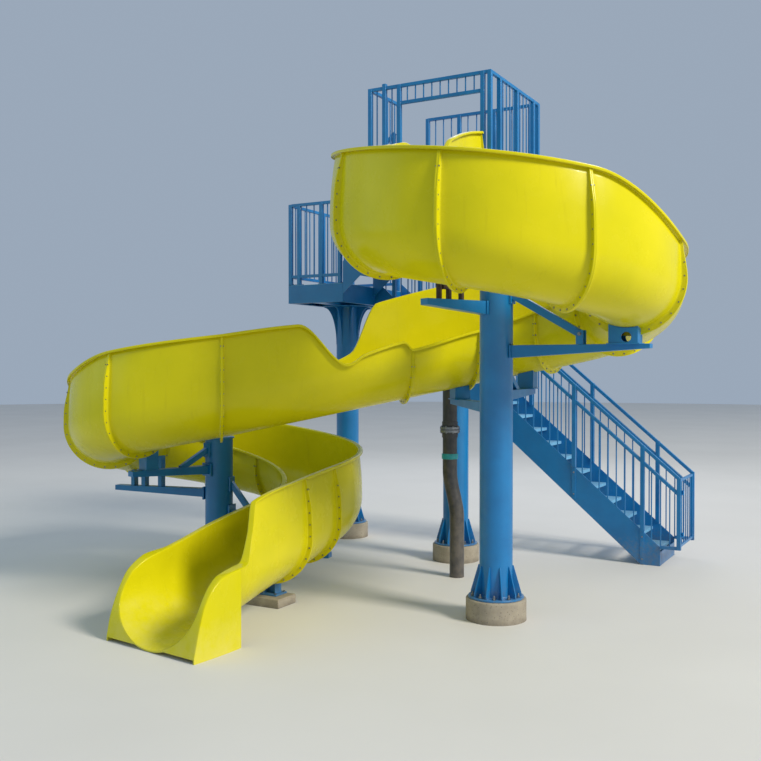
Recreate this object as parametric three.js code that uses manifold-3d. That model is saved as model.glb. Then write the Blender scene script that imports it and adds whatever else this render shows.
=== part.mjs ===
// Water slide tower: an open flume in two loops on painted steel columns, with its stair tower.
// Millimetres, +Z up. Plan places are measured from the upper loop's column, and the whole group
// is then moved so that the origin is the middle of the footprint at ground level.
import * as THREE from 'three';
import { mergeVertices } from 'three/addons/utils/BufferGeometryUtils.js';
import Module from 'manifold-3d';

const wasm = await Module();
wasm.setup();

// Stair and decks
const RISER = 181;
const GOING = 210;
const LOWER_RISERS = 20;
const UPPER_RISERS = 5;
const LANDING_Z = RISER * LOWER_RISERS;
const DECK_Z = LANDING_Z + RISER * UPPER_RISERS;
const DECK_DEPTH = 254;
const DECK_PLATE = 12;
const FASCIA = 10;
const BEAM = 160;
const PLATFORM = { x0: -2374, x1: -724, y0: 1604, y1: 3265 };
const LANDING = { x0: -4108, x1: -3214, y0: 2377, y1: 4113 };
const LOWER_NEAR_Y = 3276;
const LOWER_FAR_Y = 4088;
const FOOT_X = 846;
const NEWEL_X = 1072;
const STRINGER = 12;
const STRINGER_ABOVE = 115;
const STRINGER_BELOW = 325;
const TREAD = 40;
const TREAD_DEPTH = 235;
const UPPER_FRONT_Y = 2383;
const UPPER_BACK_Y = 3214;

// Guards
const POST = 50;
const RAIL = 44;
const PICKET = 16;
const PITCH = 115;
const GUARD_HEIGHT = 1140;
const SECOND_RAIL = 193;
const CAGE_TOP = 5934;
const HEADER_DROP = 209;
const OPENING = { x0: -1943, x1: -838 };

// Columns and footings
const SHAFT_R = 162;
const FOOTING_R = 298;
const FOOTING_H = 212;
const BASE_R = 272;
const BASE_T = 20;
const GUSSETS = 10;
const GUSSET_H = 300;
const GUSSET_T = 12;
const COLUMN_1 = { x: 0, y: 0, top: 3300 };
const COLUMN_2 = { x: -3600, y: 200, top: 1650 };
const COLUMN_3 = { x: -1549, y: 2434, top: DECK_Z - DECK_DEPTH };
const COLUMN_4 = { x: -3661, y: 3245, top: LANDING_Z - DECK_DEPTH };

// Flume
const LOOP_R = 1240;
const LOOP_1 = { x: 60, y: 30 };
const LOOP_2 = { x: -3600, y: 200 };
const HALF_WIDTH = 455;
const BOWL = 455;
const SHELL = 14;
const LIP = 45;
const FLANGE = 55;
const FLANGE_T = 14;
const LEAN = 50;
const SECTION_1 = 43.3;
const SECTION_2 = 43.46;
const SECTIONS = 7;
const MIDDLES = 2;
const LAST_SEAM = 280;
const EXIT_SEAM = 960;
const EXIT_RUN = 1170;
const EXIT_STRAIGHT = 1940;
const EXIT_BEND = 910;
const EXIT_TURN = 14;
const EXIT_LENGTH = EXIT_STRAIGHT + EXIT_BEND;
const SKIRT_FROM = 2350;
const LEDGE_FROM = 2060;
const MOUTH_FROM = 2100;
const MOUTH_FLARE = 85;
const SKIRT_OUT = 585;

const GAP = 0.3;
const DEG = Math.PI / 180;

const finish = {
  yellow: { color: 0xe6d51e, roughness: 0.25, metalness: 0 },
  blue: { color: 0x1b6aa5, roughness: 0.45, metalness: 0.1 },
  concrete: { color: 0xb4a899, roughness: 0.9, metalness: 0 },
  dark: { color: 0x34363a, roughness: 0.6, metalness: 0.1 },
};

const group = new THREE.Group();

function place(name, geometry, look) {
  const mesh = new THREE.Mesh(geometry, new THREE.MeshStandardMaterial(finish[look]));
  mesh.name = name;
  group.add(mesh);
}

// A closed three.js geometry as a solid that can be joined and cut.
function solid(geometry) {
  const bare = geometry.index ? geometry.toNonIndexed() : geometry.clone();
  bare.deleteAttribute('normal');
  bare.deleteAttribute('uv');
  const merged = mergeVertices(bare, 1e-3);
  const vertProperties = new Float32Array(merged.attributes.position.array);
  const triVerts = new Uint32Array(merged.index.array);
  return new wasm.Manifold(new wasm.Mesh({ numProp: 3, vertProperties, triVerts }));
}

function geometryOf(body) {
  const mesh = body.getMesh();
  const geometry = new THREE.BufferGeometry();
  geometry.setAttribute('position', new THREE.BufferAttribute(mesh.vertProperties, 3));
  geometry.setIndex(new THREE.BufferAttribute(mesh.triVerts, 1));
  geometry.computeVertexNormals();
  return geometry;
}

const join = (pieces) => pieces.reduce((whole, piece) => whole.add(piece));

function box(x0, x1, y0, y1, z0, z1) {
  const geometry = new THREE.BoxGeometry(x1 - x0, y1 - y0, z1 - z0);
  return solid(geometry.translate((x0 + x1) / 2, (y0 + y1) / 2, (z0 + z1) / 2));
}

function post(x, y, z0, z1, width = POST) {
  return box(x - width / 2, x + width / 2, y - width / 2, y + width / 2, z0, z1);
}

function cylinder(x, y, z0, z1, radius, sides = 24, topRadius = radius) {
  const geometry = new THREE.CylinderGeometry(topRadius, radius, z1 - z0, sides);
  return solid(geometry.rotateX(Math.PI / 2).translate(x, y, (z0 + z1) / 2));
}

// A straight bar of rectangular section from a to b, its height kept in the vertical plane.
function bar(a, b, width, height, endHeight = height) {
  const start = new THREE.Vector3(...a);
  const along = new THREE.Vector3(...b).sub(start);
  const length = along.length();
  along.normalize();
  const side = new THREE.Vector3(0, 0, 1).cross(along).normalize();
  const up = along.clone().cross(side);
  const geometry = new THREE.BoxGeometry(length, width, height).translate(length / 2, 0, 0);
  const points = geometry.attributes.position;
  for (let i = 0; i < points.count; i += 1) {
    if (points.getX(i) > length / 2) points.setZ(i, points.getZ(i) > 0 ? height / 2 : height / 2 - endHeight);
  }
  geometry.applyMatrix4(new THREE.Matrix4().makeBasis(along, side, up).setPosition(start));
  return solid(geometry);
}

// A flat plate with the outline [[u, z], ...] standing in the vertical plane through origin
// that points along angle (radians), and half of its thickness on each side.
function plate(outline, origin, angle, thickness) {
  const shape = new THREE.Shape(outline.map(([u, z]) => new THREE.Vector2(u, z)));
  const geometry = new THREE.ExtrudeGeometry(shape, { depth: thickness, bevelEnabled: false });
  geometry.translate(0, 0, -thickness / 2).rotateX(Math.PI / 2).rotateZ(angle);
  return solid(geometry.translate(origin[0], origin[1], 0));
}

// Footings and columns
function footing(name, at) {
  place(name, geometryOf(cylinder(at.x, at.y, 0, FOOTING_H - GAP, FOOTING_R, 32)), 'concrete');
}

function baseGussets(at) {
  const foot = FOOTING_H + BASE_T - 5;
  const outline = [
    [SHAFT_R - 12, foot],
    [BASE_R - 22, foot],
    [BASE_R - 22, foot + 35],
    [SHAFT_R + 8, foot + GUSSET_H],
    [SHAFT_R - 12, foot + GUSSET_H],
  ];
  return Array.from({ length: GUSSETS }, (_, i) => plate(
    outline, [at.x, at.y], (i + 0.5) * (2 * Math.PI / GUSSETS), GUSSET_T));
}

const HEAD_R = 345;
const HEAD_H = 560;
const HEAD_STEPS = 5;

// Gussets under a deck, their free edge curved from the shaft out to the head plate.
function headGussets(at) {
  const outline = [[SHAFT_R - 12, at.top - 5]];
  outline.push([HEAD_R, at.top - 5]);
  for (let i = 0; i <= HEAD_STEPS; i += 1) {
    const turn = (i / HEAD_STEPS) * (Math.PI / 2);
    const u = HEAD_R - (HEAD_R - SHAFT_R - 6) * Math.sin(turn);
    outline.push([u, at.top - 30 - (HEAD_H - 30) * (1 - Math.cos(turn))]);
  }
  outline.push([SHAFT_R - 12, at.top - HEAD_H]);
  return Array.from({ length: 8 }, (_, i) => plate(outline, [at.x, at.y], i * 45 * DEG, GUSSET_T));
}

function column(name, at, head) {
  const pieces = [
    cylinder(at.x, at.y, FOOTING_H, FOOTING_H + BASE_T, BASE_R, 32),
    cylinder(at.x, at.y, FOOTING_H + BASE_T / 2, at.top - GAP, SHAFT_R),
    ...baseGussets(at),
  ];
  if (head) {
    pieces.push(...headGussets({ ...at, top: at.top - GAP }));
    pieces.push(cylinder(at.x, at.y, at.top - 16, at.top - GAP, HEAD_R + 8, 24));
  } else {
    pieces.push(cylinder(at.x, at.y, at.top - 20, at.top, SHAFT_R + 18));
  }
  place(name, geometryOf(join(pieces)), 'blue');
}

footing('footing_upper_loop', COLUMN_1);
footing('footing_lower_loop', COLUMN_2);
footing('footing_platform', COLUMN_3);
footing('footing_landing', COLUMN_4);
column('column_upper_loop', COLUMN_1, false);
column('column_lower_loop', COLUMN_2, false);
column('column_platform', COLUMN_3, true);
column('column_landing', COLUMN_4, true);

// The flume's centre line in plan: start run, loop 1 to the left, crossover, loop 2 to the right, exit.
const between = Math.hypot(LOOP_2.x - LOOP_1.x, LOOP_2.y - LOOP_1.y);
const bearing = Math.atan2(LOOP_2.y - LOOP_1.y, LOOP_2.x - LOOP_1.x);
const leave = bearing - Math.acos((2 * LOOP_R) / between);
const enterLoop = leave - SECTIONS * SECTION_1 * DEG;
const arc1 = SECTIONS * SECTION_1 * DEG * LOOP_R;
const arc2 = SECTIONS * SECTION_2 * DEG * LOOP_R;
const crossing = Math.sqrt(between ** 2 - (2 * LOOP_R) ** 2);
const S1 = (PLATFORM.y0 - LOOP_1.y - LOOP_R * Math.sin(enterLoop)) / -Math.cos(enterLoop);
const S2 = S1 + arc1;
const S3 = S2 + crossing;
const S4 = S3 + arc2;
const S5 = S4 + EXIT_LENGTH;

function onLoop(loop, angle, heading) {
  return { x: loop.x + LOOP_R * Math.cos(angle), y: loop.y + LOOP_R * Math.sin(angle), heading };
}

function ahead(from, distance) {
  return {
    x: from.x + distance * Math.cos(from.heading),
    y: from.y + distance * Math.sin(from.heading),
    heading: from.heading,
  };
}

function centre(s) {
  if (s < S1) {
    const at = ahead(onLoop(LOOP_1, enterLoop, enterLoop + Math.PI / 2), s - S1);
    return s < 100 ? { ...at, heading: -Math.PI / 2 } : at;
  }
  if (s < S2) {
    const angle = enterLoop + (s - S1) / LOOP_R;
    return onLoop(LOOP_1, angle, angle + Math.PI / 2);
  }
  if (s < S3) return ahead(onLoop(LOOP_1, leave, leave + Math.PI / 2), s - S2);
  const turned = Math.min(s - S3, arc2) / LOOP_R;
  const angle = leave + Math.PI - turned;
  const loopEnd = onLoop(LOOP_2, angle, angle - Math.PI / 2);
  const beyond = Math.max(0, s - S4 - EXIT_STRAIGHT);
  const straight = ahead(loopEnd, Math.max(0, s - S4) - beyond);
  const turn = (beyond / EXIT_BEND) * EXIT_TURN * DEG;
  const chord = turn > 0 ? (beyond * Math.sin(turn / 2)) / (turn / 2) : 0;
  const bent = ahead({ ...straight, heading: straight.heading - turn / 2 }, chord);
  return { ...bent, heading: straight.heading - turn };
}

// Heights along the flume: smooth curves through [distance, height, slope] knots.
const FLOOR = [
  [0, 4450, -0.02],
  [S1, 3510, -0.22],
  [S1 + 600, 3396, -0.19],
  [S2, 2266, -0.2],
  [S3, 1727, -0.19],
  [S4, 398, -0.175],
  [S4 + EXIT_RUN, 246, -0.11],
  [S5, 6, -0.12],
];

function hermite(knots, s) {
  let i = 0;
  while (i < knots.length - 2 && s > knots[i + 1][0]) i += 1;
  const [s0, z0, m0] = knots[i];
  const [s1, z1, m1] = knots[i + 1];
  const span = s1 - s0;
  const u = (s - s0) / span;
  return z0 * (2 * u ** 3 - 3 * u ** 2 + 1) + z1 * (3 * u ** 2 - 2 * u ** 3)
    + span * (m0 * (u ** 3 - 2 * u ** 2 + u) + m1 * (u ** 3 - u ** 2));
}

// Wall heights above the floor, left and right of the way down, as straight runs between knots.
const LOOP_TURN = DEG * LOOP_R;
const LEFT_WALL = [
  [0, 765], [200, 778], [400, 808], [600, 865], [800, 932], [1000, 990], [1120, 975], [1300, 850],
  [S1, 620], [S2, 600], [S2 + 730, 540], [S2 + 820, 640], [S2 + 1230, 590], [S2 + 1400, 520],
  [S2 + 1930, 1030], [S3, 1075],
  [S3 + 43 * LOOP_TURN, 1095], [S3 + 70 * LOOP_TURN, 1000], [S3 + 120 * LOOP_TURN, 900],
  [S3 + 220 * LOOP_TURN, 930], [S4, 1029],
];
const RIGHT_WALL = [
  [0, 708], [120, 726], [320, 736], [700, 852], [1064, 925], [S1, 1120], [S1 + 131 * LOOP_TURN, 1120],
  [S1 + 175 * LOOP_TURN, 800], [S1 + 235 * LOOP_TURN, 860], [S1 + 270 * LOOP_TURN, 1100],
  [S2, 1170], [S2 + 950, 1120], [S2 + 1245, 610], [S2 + 1500, 550], [S4, 629],
];

// The exit's rims as heights over the ground, left and right, by distance from the loop's end.
const EXIT_LEFT = [
  [0, 1424], [1116, 1330], [1960, 1225], [2080, 933], [2220, 708], [2330, 700], [2540, 669], [2640, 605],
  [2740, 465], [2795, 290], [EXIT_LENGTH, 36],
];
const EXIT_RIGHT = [
  [0, 1024], [1370, 868], [1785, 798], [2345, 710], [2560, 615], [2670, 490], [2750, 350], [2815, 190],
  [EXIT_LENGTH, 36],
];

function along(knots, s) {
  let i = 0;
  while (i < knots.length - 2 && s > knots[i + 1][0]) i += 1;
  const [s0, h0] = knots[i];
  const [s1, h1] = knots[i + 1];
  return h0 + (h1 - h0) * Math.min(1, Math.max(0, (s - s0) / (s1 - s0)));
}

function wallHeight(sign, s) {
  if (s > S4) return along(sign > 0 ? EXIT_LEFT : EXIT_RIGHT, s - S4) - hermite(FLOOR, s);
  return along(sign > 0 ? LEFT_WALL : RIGHT_WALL, s);
}

const SIDE_STEPS = 6;
const ARC_STEPS = 4;
const START_LEFT = 75;
const START_RIGHT = -60;
const START_RUN = 420;

// The mouth stands a little to the left of the channel it leads into.
function halfWidth(s, sign) {
  const aside = sign > 0 ? START_LEFT : START_RIGHT;
  return HALF_WIDTH + aside * (1 - THREE.MathUtils.smoothstep(s, 0, START_RUN));
}

// One side of the U from the bottom to the rim: [offset, height, normal offset, normal height].
function side(width, height, inset) {
  const quarter = (Math.PI / 2) * BOWL;
  const wallTop = Math.max(24, height);
  const length = wallTop > BOWL ? quarter + wallTop - BOWL : BOWL * Math.acos(1 - wallTop / BOWL);
  return Array.from({ length: SIDE_STEPS + 1 }, (_, i) => {
    let run = (i / SIDE_STEPS) * length;
    if (wallTop > BOWL + 60) {
      const wallPart = Math.max(0, i - ARC_STEPS) / (SIDE_STEPS - ARC_STEPS);
      run = quarter * Math.min(1, i / ARC_STEPS) + (length - quarter) * wallPart;
    }
    const turn = Math.min(run, quarter) / BOWL;
    const above = Math.max(0, run - quarter);
    const lean = LEAN * (above / 625) ** 2;
    return [
      (width - inset) * Math.sin(turn) - lean,
      BOWL - (BOWL - inset) * Math.cos(turn) + above,
      Math.sin(turn),
      -Math.cos(turn),
    ];
  });
}

// The shell's outline at distance s, with its outer face grown by the flange where asked.
function outline(s, grow) {
  const points = [];
  const rim = [];
  for (const sign of [1, -1]) {
    const width = halfWidth(s, sign);
    const height = wallHeight(sign, s);
    const outer = side(width, height, 0).map(([n, h, dn, dh]) => [sign * (n + grow * dn), h + grow * dh]);
    const inner = side(width, height, SHELL).map(([n, h]) => [sign * n, h]);
    const [n, h] = outer[SIDE_STEPS];
    const lip = grow > 0 ? 4 : LIP;
    outer[SIDE_STEPS] = [n, h - SHELL];
    rim.push({ inner, outer, lip: [[n + sign * lip, h - SHELL + 1], [n + sign * lip, h]] });
  }
  const [left, right] = rim;
  points.push(...left.outer.slice().reverse(), ...right.outer.slice(1));
  points.push(right.lip[0], right.lip[1]);
  points.push(...right.inner.slice().reverse(), ...left.inner.slice(1));
  points.push(left.lip[1], left.lip[0]);
  return points;
}

// A closed skin through rings of equal length, with both ends capped. From the edge turnAt on, the
// faces are split the other way, so that the two sides of a shell stay parallel.
function loft(rings, turnAt = rings[0].length / 2) {
  const count = rings[0].length;
  const flat = rings.flat(1).flat();
  const index = [];
  for (let r = 0; r < rings.length - 1; r += 1) {
    for (let i = 0; i < count; i += 1) {
      const a = r * count + i;
      const b = r * count + ((i + 1) % count);
      if (i < turnAt) index.push(a, b, b + count, a, b + count, a + count);
      else index.push(a, b, a + count, b, b + count, a + count);
    }
  }
  const cap = (ring) => {
    const points = ring.map((p) => new THREE.Vector3(...p));
    const normal = new THREE.Vector3();
    points.forEach((p, i) => normal.add(p.clone().cross(points[(i + 1) % count])));
    normal.normalize();
    const across = points[Math.floor(count / 2)].clone().sub(points[0]).projectOnPlane(normal).normalize();
    const up = normal.clone().cross(across);
    const flatRing = points.map((p) => new THREE.Vector2(p.dot(across), p.dot(up)));
    const turned = THREE.ShapeUtils.isClockWise(flatRing);
    const faces = THREE.ShapeUtils.triangulateShape(flatRing, []);
    const clockwise = (face) => THREE.ShapeUtils.isClockWise(face.map((i) => flatRing[i]));
    return faces.map((face) => (clockwise(face) === turned ? face : face.slice().reverse()));
  };
  const last = (rings.length - 1) * count;
  for (const [a, b, c] of cap(rings[0])) index.push(a, c, b);
  for (const [a, b, c] of cap(rings[rings.length - 1])) index.push(last + a, last + b, last + c);
  const geometry = new THREE.BufferGeometry();
  geometry.setAttribute('position', new THREE.Float32BufferAttribute(flat, 3));
  geometry.setIndex(index);
  const body = solid(geometry);
  if (body.volume() > 0) return body;
  geometry.setIndex(index.map((_, i) => index[i - (i % 3) + 2 - (i % 3)]));
  return solid(geometry);
}

function toWorld(s, [n, h]) {
  const at = centre(s);
  return [at.x - n * Math.sin(at.heading), at.y + n * Math.cos(at.heading), hermite(FLOOR, s) + h];
}

// The room the flume takes, filled in and a gap larger, for cutting what it rests on.
const envelopes = [];

function envelopeRing(s, grow) {
  const ring = outline(s, grow + GAP);
  return ring.slice(0, 2 * SIDE_STEPS + 1).map((point) => toWorld(s, point));
}

function flumeShell(s0, s1, middles, startFlange = FLANGE, endFlange = FLANGE) {
  const from = s0 + GAP / 2;
  const to = s1 - GAP / 2;
  const stations = [[from, startFlange], [from + FLANGE_T, 0]];
  for (const s of middles) stations.push([s, 0]);
  stations.push([to - FLANGE_T, 0], [to, endFlange]);
  const cutter = [[s0 - 1, startFlange * 1.1], [s0 + FLANGE_T + 1, 0], ...stations.slice(2, -2),
    [s1 - FLANGE_T - 1, 0], [s1 + 1, endFlange * 1.1]];
  envelopes.push(loft(cutter.map(([s, grow]) => envelopeRing(s, grow)), Infinity));
  return loft(stations.map(([s, grow]) => outline(s, grow).map((point) => toWorld(s, point))));
}

const evenly = (s0, s1, count) => Array.from(
  { length: count }, (_, i) => s0 + ((s1 - s0) * (i + 1)) / (count + 1));

function flume(name, s0, s1, middles, startFlange, endFlange) {
  place(name, geometryOf(flumeShell(s0, s1, middles, startFlange, endFlange)), 'yellow');
}

flume('flume_start', GAP, S1, [130, 260, 600, 1000, 1150, 1400], FLANGE, FLANGE);
for (let i = 0; i < SECTIONS; i += 1) {
  const length = arc1 / SECTIONS;
  flume(`flume_upper_${i + 1}`, S1 + i * length, S1 + (i + 1) * length,
    evenly(S1 + i * length, S1 + (i + 1) * length, MIDDLES));
}
const CROSS_SEAM = S2 + 730;
flume('flume_cross_1', S2, CROSS_SEAM, [S2 + 360]);
flume('flume_cross_2', CROSS_SEAM, S3, [S2 + 820, S2 + 950, S2 + 1245, S2 + 1400, S2 + 1930, S2 + 2300]);
for (let i = 0; i < SECTIONS; i += 1) {
  const length = arc2 / SECTIONS;
  const from = S3 + i * length;
  const last = i === SECTIONS - 1;
  flume(`flume_lower_${i + 1}`, from, from + length + (last ? LAST_SEAM : 0),
    [...evenly(from, from + length, MIDDLES), ...(last ? [S4] : [])]);
}
flume('flume_exit_run', S4 + LAST_SEAM, S4 + EXIT_SEAM, [S4 + (LAST_SEAM + EXIT_SEAM) / 2]);

// The exit's outline: the channel, and outside it a lip or, near the water, a skirt to the ground.
function exitOutline(s, grow, skirted) {
  const ground = -hermite(FLOOR, s);
  const width = HALF_WIDTH + MOUTH_FLARE * THREE.MathUtils.smoothstep(s, S4 + MOUTH_FROM, S5);
  const widening = THREE.MathUtils.smoothstep(s, S4 + LEDGE_FROM, S4 + SKIRT_FROM);
  const sides = [1, -1].map((sign) => {
    const height = wallHeight(sign, s);
    const inner = side(width, height, SHELL);
    const outer = side(width, height, 0).map(([n, h, dn, dh]) => [n + grow * dn, h + grow * dh]);
    const top = inner[SIDE_STEPS][1];
    const [edge] = outer[SIDE_STEPS];
    outer[SIDE_STEPS] = [edge, top - SHELL];
    const lip = edge + (grow > 0 ? 6 : LIP);
    const reach = lip + (SKIRT_OUT - lip) * widening;
    const foot = skirted ? ground : top - SHELL - 1;
    const hollow = skirted ? Math.max(foot + 1, top - SHELL) : foot + 0.5;
    const within = skirted ? reach - SHELL : reach - 3;
    return {
      inner: inner.map(([n, h]) => [sign * n, h]),
      outer: outer.map(([n, h]) => [sign * n, Math.max(h, skirted ? ground : h)]),
      skirt: [[sign * reach, top], [sign * reach, foot]],
      under: [[sign * within, foot], [sign * within, hollow]],
    };
  });
  const [left, right] = sides;
  return [
    ...left.skirt.slice().reverse(), ...left.inner.slice().reverse(), ...right.inner.slice(1), ...right.skirt,
    ...right.under, ...right.outer.slice().reverse(), ...left.outer.slice(1), ...left.under.slice().reverse(),
  ];
}

function exitShell() {
  const from = S4 + EXIT_SEAM + GAP / 2;
  const trough = [EXIT_RUN, 1560, 1960, 2080, 2220, SKIRT_FROM - 1].map((t) => [S4 + t, 0, false]);
  const mouth = [SKIRT_FROM, 2540, 2640, 2740, 2795, EXIT_LENGTH].map((t) => [S4 + t, 0, true]);
  const stations = [[from, FLANGE, false], [from + FLANGE_T, 0, false], ...trough, ...mouth];
  envelopes.push(loft([[S4 + EXIT_SEAM - 1, FLANGE * 1.1], [S4 + EXIT_SEAM + FLANGE_T + 1, 0],
    [S4 + EXIT_RUN, 0], [S4 + 1560, 0], [S4 + 1960, 0]].map(([s, grow]) => envelopeRing(s, grow)), Infinity));
  return loft(stations.map(([s, grow, skirted]) => exitOutline(s, grow, skirted)
    .map((point) => toWorld(s, point))));
}

place('flume_exit', geometryOf(exitShell()), 'yellow');

// Arms that carry the flume: a tapered beam, a saddle box or legs under the shell, and a strut that
// may end in a lug on the beam.
const onArm = (column, angle, radius, z) => [
  column.x + radius * Math.cos(angle * DEG), column.y + radius * Math.sin(angle * DEG), z];

function arm(name, column, angle, options) {
  const { z, length, depth, tip, saddle, saddleTop, strut, drop, rootHeight } = options;
  const { legs = [], legWidth = 90, strutSize = 60, lug } = options;
  const root = SHAFT_R - 40;
  const top = z + depth / 2;
  const pieces = [];
  if (drop) {
    const [rootZ, reach] = drop;
    pieces.push(bar(onArm(column, angle, root, rootZ), onArm(column, angle, reach + 30, z), 110, depth));
    pieces.push(bar(onArm(column, angle, reach, z), onArm(column, angle, length, z), 110, depth, tip));
    pieces.push(bar(onArm(column, angle, root, rootZ), onArm(column, angle, SHAFT_R + 18, rootZ), 190, 190));
  } else {
    pieces.push(bar(onArm(column, angle, root, z), onArm(column, angle, length, z), 110, depth, tip));
    pieces.push(bar(onArm(column, angle, root, z), onArm(column, angle, SHAFT_R + 18, z),
      190, rootHeight ?? depth * 1.7));
  }
  if (saddle) {
    const [from, to] = saddle;
    const middle = (top - 5 + saddleTop) / 2;
    pieces.push(bar(onArm(column, angle, from, middle), onArm(column, angle, to, middle),
      180, saddleTop - top + 5));
  }
  for (const [from, to, low, high] of legs) {
    const middle = (low + high) / 2;
    const ends = [from, to].map((radius) => onArm(column, angle, radius, middle));
    pieces.push(bar(ends[0], ends[1], legWidth, high - low));
  }
  if (lug) {
    const [from, to, high] = lug;
    const middle = (top - 5 + high) / 2;
    pieces.push(bar(onArm(column, angle, from, middle), onArm(column, angle, to, middle), 60, high - top + 5));
  }
  if (strut) {
    const [rootZ, reach, endZ] = strut;
    const foot = onArm(column, angle, reach, endZ ?? top - 12);
    pieces.push(bar(onArm(column, angle, root, rootZ), foot, strutSize, strutSize));
    pieces.push(bar(onArm(column, angle, root, rootZ - 20), onArm(column, angle, SHAFT_R + 18, rootZ - 20),
      120, 170));
  }
  const shaft = cylinder(column.x, column.y, 0, column.top + 100, SHAFT_R + GAP);
  place(name, geometryOf(join(pieces).subtract(shaft).subtract(flumeRoom)), 'blue');
}

const flumeRoom = join(envelopes);
const floorAt = (s) => hermite(FLOOR, s);
const sOnLoop1 = (angle) => S1 + (angle * DEG - enterLoop) * LOOP_R;
const sOnLoop2 = (angle) => S3 + (leave + Math.PI - 2 * Math.PI - angle * DEG) * LOOP_R;
const seat = (s) => floorAt(s) + 40;

arm('arm_upper_front', COLUMN_1, -117, {
  z: 3040, length: 880, depth: 130, tip: 60, legWidth: 54,
  legs: [[425, 455, 3095, 3345], [575, 605, 3095, 3345], [690, 720, 3095, 3345], [528, 670, 3200, 3345],
    [410, 900, 3335, 3420]],
});
arm('beam_upper_right', COLUMN_1, 0, {
  z: 2617, length: 1500, depth: 122, tip: 42, saddle: [1130, 1400], saddleTop: seat(sOnLoop1(0)),
  strut: [3200, 850, 2776], strutSize: 72, lug: [815, 885, 2812], rootHeight: 122,
});
arm('arm_upper_rear', COLUMN_1, 96, {
  z: 2180, length: 1360, depth: 110, tip: 60, saddle: [1130, 1330], saddleTop: seat(sOnLoop1(96)),
  strut: [2560, 760], rootHeight: 110,
});
arm('arm_crossover', COLUMN_1, 131, {
  z: 2060, length: 1440, depth: 110, tip: 60, saddle: [1130, 1350], saddleTop: seat(S2), rootHeight: 110,
});
arm('arm_lower_front', COLUMN_2, -108, {
  z: 1270, length: 1150, depth: 100, tip: 60, saddle: [850, 1000], saddleTop: floorAt(sOnLoop2(-108)) + 230,
  strut: [1530, 520],
});
arm('arm_lower_left', COLUMN_2, -169, {
  z: 980, length: 1390, depth: 100, tip: 60,
  legs: [[750, 800, 1020, 1400], [975, 1030, 1020, 1320], [1125, 1172, 1020, 1280]],
});
arm('arm_lower_rear', COLUMN_2, 12, {
  z: 310, length: 1400, depth: 90, tip: 60, saddle: [1130, 1340], saddleTop: seat(sOnLoop2(-348)),
  drop: [760, 800], strut: [1130, 700, 395],
});

// Exit support: a short stand on a concrete block, under the run after the lower loop.
const EXIT_STAND = { s: S4 + 890, x0: -2630, x1: -2067, y0: -762, y1: -442, blockTop: 95 };
const standAt = centre(EXIT_STAND.s);
place('exit_support_block', geometryOf(box(EXIT_STAND.x0, EXIT_STAND.x1, EXIT_STAND.y0, EXIT_STAND.y1,
  0, EXIT_STAND.blockTop - GAP)), 'concrete');
place('exit_support_stand', geometryOf(join([
  box(standAt.x - 110, standAt.x + 110, standAt.y - 100, standAt.y + 100,
    EXIT_STAND.blockTop, EXIT_STAND.blockTop + 16),
  box(standAt.x - 70, standAt.x + 70, standAt.y - 60, standAt.y + 60,
    EXIT_STAND.blockTop + 8, floorAt(EXIT_STAND.s) + 30),
]).subtract(flumeRoom)), 'blue');

// The hollows between a deck's edge, its joists and the beams over the column.
function bays(low, high, beam, joists) {
  const cuts = [[low, low + FASCIA]];
  for (const [from, to] of [[low, beam - BEAM / 2], [beam + BEAM / 2, high]]) {
    for (let i = 1; i < joists; i += 1) {
      const at = from + ((to - from) * i) / joists;
      cuts.push([at - FASCIA / 2, at + FASCIA / 2]);
    }
    if (to !== high) cuts.push([to, to + BEAM]);
  }
  cuts.push([high - FASCIA, high]);
  return cuts.slice(1).map((cut, i) => [cuts[i][1], cut[0]]);
}

// Decks: a plate on a deep frame.
function deck(name, area, top, column, [joistsX, joistsY]) {
  const low = top - DECK_DEPTH;
  const { x0, x1, y0, y1 } = area;
  let body = box(x0, x1, y0, y1, low, top);
  for (const [xa, xb] of bays(x0, x1, column.x, joistsX)) {
    for (const [ya, yb] of bays(y0, y1, column.y, joistsY)) {
      body = body.subtract(box(xa, xb, ya, yb, low - 10, top - DECK_PLATE));
    }
  }
  place(name, geometryOf(body), 'blue');
}

deck('platform_deck', PLATFORM, DECK_Z, COLUMN_3, [2, 1]);
deck('landing_deck', LANDING, LANDING_Z, COLUMN_4, [1, 2]);

// Guards: posts, rails and pickets welded into one panel.
function railing({ a, b, top, foot, posts, rails, pickets, picketTop, postFoot }) {
  const run = Math.hypot(b[0] - a[0], b[1] - a[1]);
  const at = (d, z) => [a[0] + ((b[0] - a[0]) * d) / run, a[1] + ((b[1] - a[1]) * d) / run, z];
  const pieces = [];
  for (const drop of rails) {
    pieces.push(bar(at(0, top(0) - drop - RAIL / 2), at(run, top(run) - drop - RAIL / 2), RAIL, RAIL));
  }
  for (const d of posts) {
    const [x, y] = at(d, 0);
    pieces.push(post(x, y, postFoot ? postFoot(d) : foot(d), top(d) - 6));
  }
  for (const [from, to] of pickets) {
    const count = Math.max(1, Math.round((to - from) / PITCH) - 1);
    for (let i = 1; i <= count; i += 1) {
      const d = from + ((to - from) * i) / (count + 1);
      const [x, y] = at(d, 0);
      pieces.push(post(x, y, foot(d), picketTop(d), PICKET));
    }
  }
  return join(pieces);
}

function levelGuard(name, a, b, floor, height, posts, closed = true) {
  const run = Math.hypot(b[0] - a[0], b[1] - a[1]);
  const drops = closed ? [0, height - 100 - RAIL] : [0];
  const marks = posts.map((f) => f * run);
  const spans = marks.slice(1).map((mark, i) => [marks[i], mark]);
  place(name, geometryOf(railing({
    a, b,
    top: () => floor + height,
    foot: () => floor + 110,
    postFoot: () => floor + GAP,
    posts: marks,
    rails: drops,
    pickets: spans,
    picketTop: () => floor + height - RAIL / 2,
  })), 'blue');
}

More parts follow.
